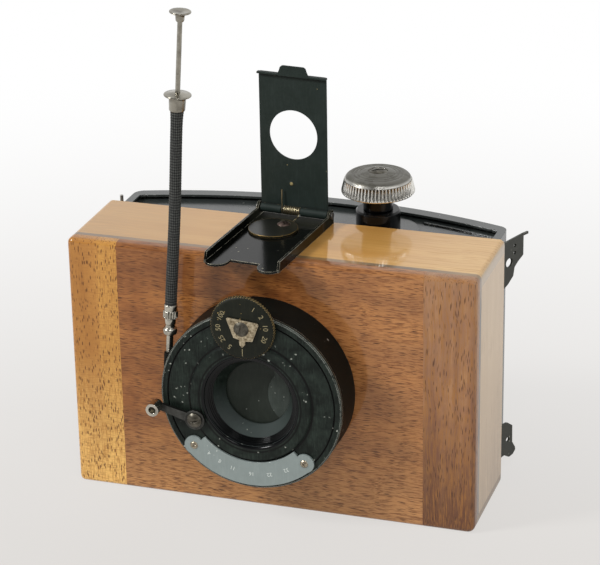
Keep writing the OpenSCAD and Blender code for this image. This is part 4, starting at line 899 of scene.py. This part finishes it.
# %% Enamels of the sight and the film back
# The sight's leaf is a dull green-black, with one brass spot where its rivet was rubbed.
leaf_enamel = worn_enamel(
    "Dull black enamel", "#19231F", "#2C3532", "#A89A6C", rough=0.6, shine=0.22, wear=0.3,
    chips=0.07, soft=0.2, gap=1.4, spot=((-2.72, 16.78, 103.1), 0.65))
# The tray is still glossy at its front; dust has settled at its back.
tray_enamel = worn_enamel(
    "Glossy black enamel", "#050605", "#15160F", "#A9A593", rough=0.14, shine=0.18, wear=0.75,
    chips=0.3, gap=2, dirt=(BACKWARD, 7, 12, "#191A10"))
# The disc's lacquer has worn to a thin line of brass round its rim.
disc_lacquer = worn_enamel(
    "Black lacquer on a brass disc", "#11120E", "#26261C", "#A8884A", rough=0.3, shine=0.4,
    wear=0.95, chips=0.2, soft=0.35, gap=2, dust=0.4,
    rim=((-5.52, 4.969, 0), UPRIGHT, 7.4, 8))
# The back's sheet metal is a lighter, glossy black that takes a long soft highlight.
sheet_enamel = worn_enamel(
    "Black enamel on sheet metal", "#2E3231", "#404543", "#B9B9B4", rough=0.22, shine=0.9, wear=0.4,
    chips=0.2, gap=2)
# The clips are handled most, and their black has gone olive.
clip_steel = worn_enamel(
    "Spring steel, black worn to olive", "#2A2B25", "#42433A", "#A9A99E", rough=0.45, shine=0.4,
    wear=0.6, chips=0.3, soft=0.2, gap=1.6)
# The neck under the knob is a clean black with a narrow highlight.
neck_enamel = worn_enamel(
    "Polished black enamel", "#050607", "#0E0F10", "#B9B9B4", rough=0.2, shine=0.3, wear=0.2,
    chips=0.1, gap=3)
print("six coats for the sight and the back")

# %% [markdown]
# ## The red window
# The window for the film's numbers is clear red celluloid, which lets only red light pass. It is a
# plain glass-like shader with a red colour, and a haze of fine scratches sets its roughness.

# %% Window finish
HAZE = 2

# Celluloid gives the eye a deep, slightly cloudy red.
celluloid, add = blank_finish("Red celluloid")
place = add("TexCoord", out="Object")
haze = add("TexNoise", [place, 1 / (HAZE * MM), 4])
fog = add("MapRange", [haze, 0.3, 0.7, 0.08, 0.25])
film = add("BsdfPrincipled",
           {"Base Color": "#B01414", "Roughness": fog, "IOR": 1.5, "Transmission Weight": 0.6})
add("OutputMaterial", [film])
finishes["red_celluloid"] = celluloid
print(celluloid.name)

# %% [markdown]
# ## Dressing the solids
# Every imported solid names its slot, a plain word for what it is made of, and most take the finish
# of that slot. Some have aged in their own way and get a finish of their own instead.

# %% Every solid takes its finish
own_finish = {
    "left_board": side_board, "right_board": side_board, "pinhole_plate": finishes["gear_brass"],
    "shutter_front_plate": case_enamel, "shutter_blade_right": dusty_lit_blade,
    "scale_screws": turned_screw, "release_stud": rubbed_nickel,
    "sight_leaf": leaf_enamel, "sight_tray": tray_enamel, "sight_disc": disc_lacquer,
    "sight_screw": rusty_screw, "knob_spindle": neck_enamel, "winder_bush": neck_enamel,
    "back_top_plate": sheet_enamel, "back_door": sheet_enamel, "back_bottom_plate": sheet_enamel,
    "upper_clip": clip_steel, "lower_clip": clip_steel,
}
for node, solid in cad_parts.items():
    slot = solid.data.materials[0].name.split(".")[0]
    solid.data.materials[0] = own_finish.get(node) or finishes[slot]
print("finished", len(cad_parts), "solids,", len(own_finish), "of them in their own way")

# %% [markdown]
# ## The winding knob
# The knob is turned brass under nickel: sixty ribs on a tapering flank for the fingers, a rounded
# shoulder, and a top with three shallow grooves that the turning tool left. The lathe cuts it.

# %% Knob
KNOB_RIBS = 60
knob_place = Matrix.Translation(Vector((24.5, 26.5, 99.6)) * MM)
knob_rows = [
    # the underside and the ribbed flank
    (5.05, 0.02), (11.3, 0), *bend((11.8, 0.56), 0.57, -75, -10, 4), (12.38, 0.8, 0.5),
    (12.3, 1.15, 0.95), (11.5, 4.3, 0.95), (11.42, 4.48, 0.5), (11.34, 4.6),
    # the shoulder
    *bend((9, 4.08), 2.3, 15, 78, 10), (9.2, 6.37),
    # the top with its grooves
    (8.6, 6.4), (8.5, 6.33), (8.3, 6.34), (8.2, 6.46), (7.4, 6.56), (7.3, 6.49), (7.1, 6.5),
    (7, 6.63), (6.2, 6.78), (6.1, 6.71), (5.9, 6.73), (5.8, 6.86), (4.6, 7.06), (3.9, 7.25),
    # the hollow for its screw
    (3.5, 7.36), (3.3, 7.28), (3.22, 6.75),
]
knob_mesh = turned("ribbed_knob", knob_rows, KNOB_RIBS * 8, knob_place, KNOB_RIBS)
piece("ribbed_knob", knob_mesh, knob_nickel, "knob", "nickel", "winding_knob")
print("knob with", KNOB_RIBS, "ribs")

# %% [markdown]
# ## The speed dial and the figures
# The dial is a knurled brass disc under black lacquer, with pale figures round its face, and the
# aperture scale below has white ones. The figures are cut from Blender's own font as thin plates,
# so that those on the dial turn with it.

# %% Dial
DIAL_TEETH = 72
DIAL_BACK, DIAL_FACE = -34.8, -36.41

def facing_front(x, z, y):
    """A place on the front of the shutter, whose Z axis points forward; sizes in mm."""
    return Matrix(((1, 0, 0, x * MM), (0, 0, -1, y * MM), (0, 1, 0, z * MM), (0, 0, 0, 1)))

dial_rows = [
    (1.6, 0), (10.5, 0), (10.95, 0.2, 0.3), (11, 0.35, 0.42), (11, 0.95, 0.42), (10.85, 1.15, 0.25),
    (10.45, 1.3), (10.2, 1.52), (9.9, 1.6), (1.6, 1.6),
]
dial_mesh = turned("knurled_dial", dial_rows, DIAL_TEETH * 8, facing_front(*DIAL, DIAL_BACK),
                   DIAL_TEETH)
piece("knurled_dial", dial_mesh, finishes["dial_black"], "dial", "dial_black", "speed_dial")
print("dial with", DIAL_TEETH, "teeth")

# %% Figures
HALF_PLATE = 0.012
SCALE_FACE = -34.31

def figures(name, marks, place, finish, body, slot):
    """Figures as thin plates; a mark is a text, its height in mm, its angle and its radius."""
    made = bmesh.new()
    for text, size, angle, radius in marks:
        words = bpy.data.curves.new("figure", "FONT")
        words.body = text
        words.size = size * MM
        words.align_x = "CENTER"
        words.align_y = "CENTER"
        words.extrude = HALF_PLATE * MM
        holder = placed("figure", words)
        result = holder.evaluated_get(bpy.context.evaluated_depsgraph_get())
        flat = bpy.data.meshes.new_from_object(result)
        turn = Matrix.Rotation(math.radians(-angle), 4, "Z")
        flat.transform(place @ turn @ Matrix.Translation((0, radius * MM, 0)))
        made.from_mesh(flat)
        bpy.data.objects.remove(holder)
        bpy.data.meshes.remove(flat)
        bpy.data.curves.remove(words)
    mesh = bpy.data.meshes.new(name)
    made.to_mesh(mesh)
    made.free()
    return piece(name, mesh, finish, body, slot)

# The dial's figures were filled with cream paint, now patchy and brown.
pale_paint = worn_enamel(
    "Worn pale filling", "#968B6A", "#5A543E", "#2E2A20", rough=0.6, shine=0.3, wear=0.3, chips=0.5,
    soft=0.1, gap=0.7, dust=0.6)
speeds = [
    ("100", 2.3, -62, 7.9), ("50", 2.4, -94, 8), ("25", 2.4, -122, 8), ("5", 2.5, -148, 8),
    ("1", 2.4, 30, 8), ("2", 2.4, 55, 8), ("10", 2.4, 82, 8), ("20", 2.4, 112, 8),
    ("|", 2.8, 180, 8.6),
]
figures("dial_figures", speeds, facing_front(*DIAL, DIAL_FACE), pale_paint, "dial", "bright_brass")

# The scale's figures are a worn white that stands out a little from their grey plate.
worn_white = worn_enamel(
    "Worn white filling", "#D0D6D2", "#B0B8B4", "#D8DAD4", rough=0.6, shine=0.3, wear=0.3, chips=0.3,
    soft=0.1, gap=0.7)
stops = [
    ("4", 1.9, 216, 24.8), ("8", 1.9, 206, 25), ("11", 1.9, 195, 25.2), ("16", 1.9, 180, 25.6),
    ("22", 1.9, 166, 25.8), ("32", 1.9, 152, 25.6),
]
figures("scale_figures", stops, facing_front(*SHUTTER, SCALE_FACE), worn_white, "camera",
        "scale_steel")
print(len(speeds), "marks on the dial and", len(stops), "on the scale")

# %% [markdown]
# ## The shutter's mouth
# The mouth is a short funnel with a rolled lip, and inside the lip are a few turns of a thread. On
# the real shutter a tool turned them in brass. Here they are trim on the solid's funnel: their
# crests catch the light as thin rings, which the solid's smooth wall would not.

# %% Mouth
LIP, LIP_RADIUS = (16.5, 15.3), 0.76
THREAD_TURNS, THREAD_STEP, THREAD_START, THREAD_ROUND = 4, 0.6, 14.7, 0.22
MOUTH_AROUND = 180
# The funnel's wall: two heights, and its radii there.
WALL_HEIGHTS, WALL_RADII = (8.0, 15.3), (11, 15.3)

mouth_rows = bend(LIP, LIP_RADIUS, 180, 540, 28)[::-1]
for k in range(THREAD_TURNS):
    forward = THREAD_START - THREAD_STEP * k
    wall = np.interp(forward, WALL_HEIGHTS, WALL_RADII)
    crest_rows = bend((wall, forward), THREAD_ROUND, 120, 240, 5)
    mouth_rows += [(wall + 0.1, forward + 0.2), *crest_rows, (wall + 0.1, forward - 0.22)]
mouth_mesh = turned("mouth_lip", mouth_rows[::-1], MOUTH_AROUND, facing_front(*SHUTTER, FRONT),
                    closed=(False, False))
piece("mouth_lip", mouth_mesh, mouth_enamel, "camera", "black_enamel")
print("lip with", THREAD_TURNS, "turns of thread")

# %% [markdown]
# ## The sight's spring
# A torsion spring on the hinge pin holds the leaf up: eight close turns, with one leg that rises in
# front of the leaf and one that lies on the disc. When the leaf folds, one end turns with it and
# the other stays.
# The sight stands a little askew on the lid, so the spring is wound straight and then turned with
# it.

# %% Torsion spring
TURNS, POINTS_PER_TURN, WIRE_AROUND = 8, 28, 12
COIL_FROM, COIL_TO, COIL_RADIUS, WIRE_RADIUS = -4.15, 1.85, 1.35, 0.3
ASKEW = math.radians(-4.8)
FOOT_Z = -1.44
# The legs are drawn thinner than the coil.
LEG_SHARE = 0.75

hinge = Matrix.Translation(Vector((-1.8, 17, 93.4)) * MM) @ Matrix.Rotation(ASKEW, 4, "Z")
winding = np.linspace(0, TURNS, TURNS * POINTS_PER_TURN + 1)
coil = np.stack([
    COIL_FROM + (COIL_TO - COIL_FROM) * winding / TURNS,
    -COIL_RADIUS * np.cos(2 * np.pi * winding),
    -COIL_RADIUS * np.sin(2 * np.pi * winding),
], 1)
upper_leg = [
    (COIL_FROM, 0.1 * k - COIL_RADIUS, 2.5 * k) for k in (3, 2.5, 2, 1.5, 1, 0.6, 0.3)]
lower_leg = [
    (COIL_TO, -COIL_RADIUS - y, FOOT_Z + z)
    for y, z in ((0, 0.7), (0.2, 0.2), (0.7, 0), (2, 0), (4.6, 0))]
wire_path = [hinge @ (Vector(p) * MM) for p in (*upper_leg, *coil.tolist(), *lower_leg)]
thickness = np.full((len(wire_path), 1), WIRE_RADIUS * MM)
thickness[:len(upper_leg)] *= LEG_SHARE
thickness[-len(lower_leg):] *= LEG_SHARE
spring_mesh = skin("torsion_spring", sweep(wire_path, thickness, WIRE_AROUND), (True, True))
spring = piece("torsion_spring", spring_mesh, finishes["spring_wire"], None, "spring_wire",
               "sight_spring")
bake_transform(spring)
print("spring of", TURNS, "turns")
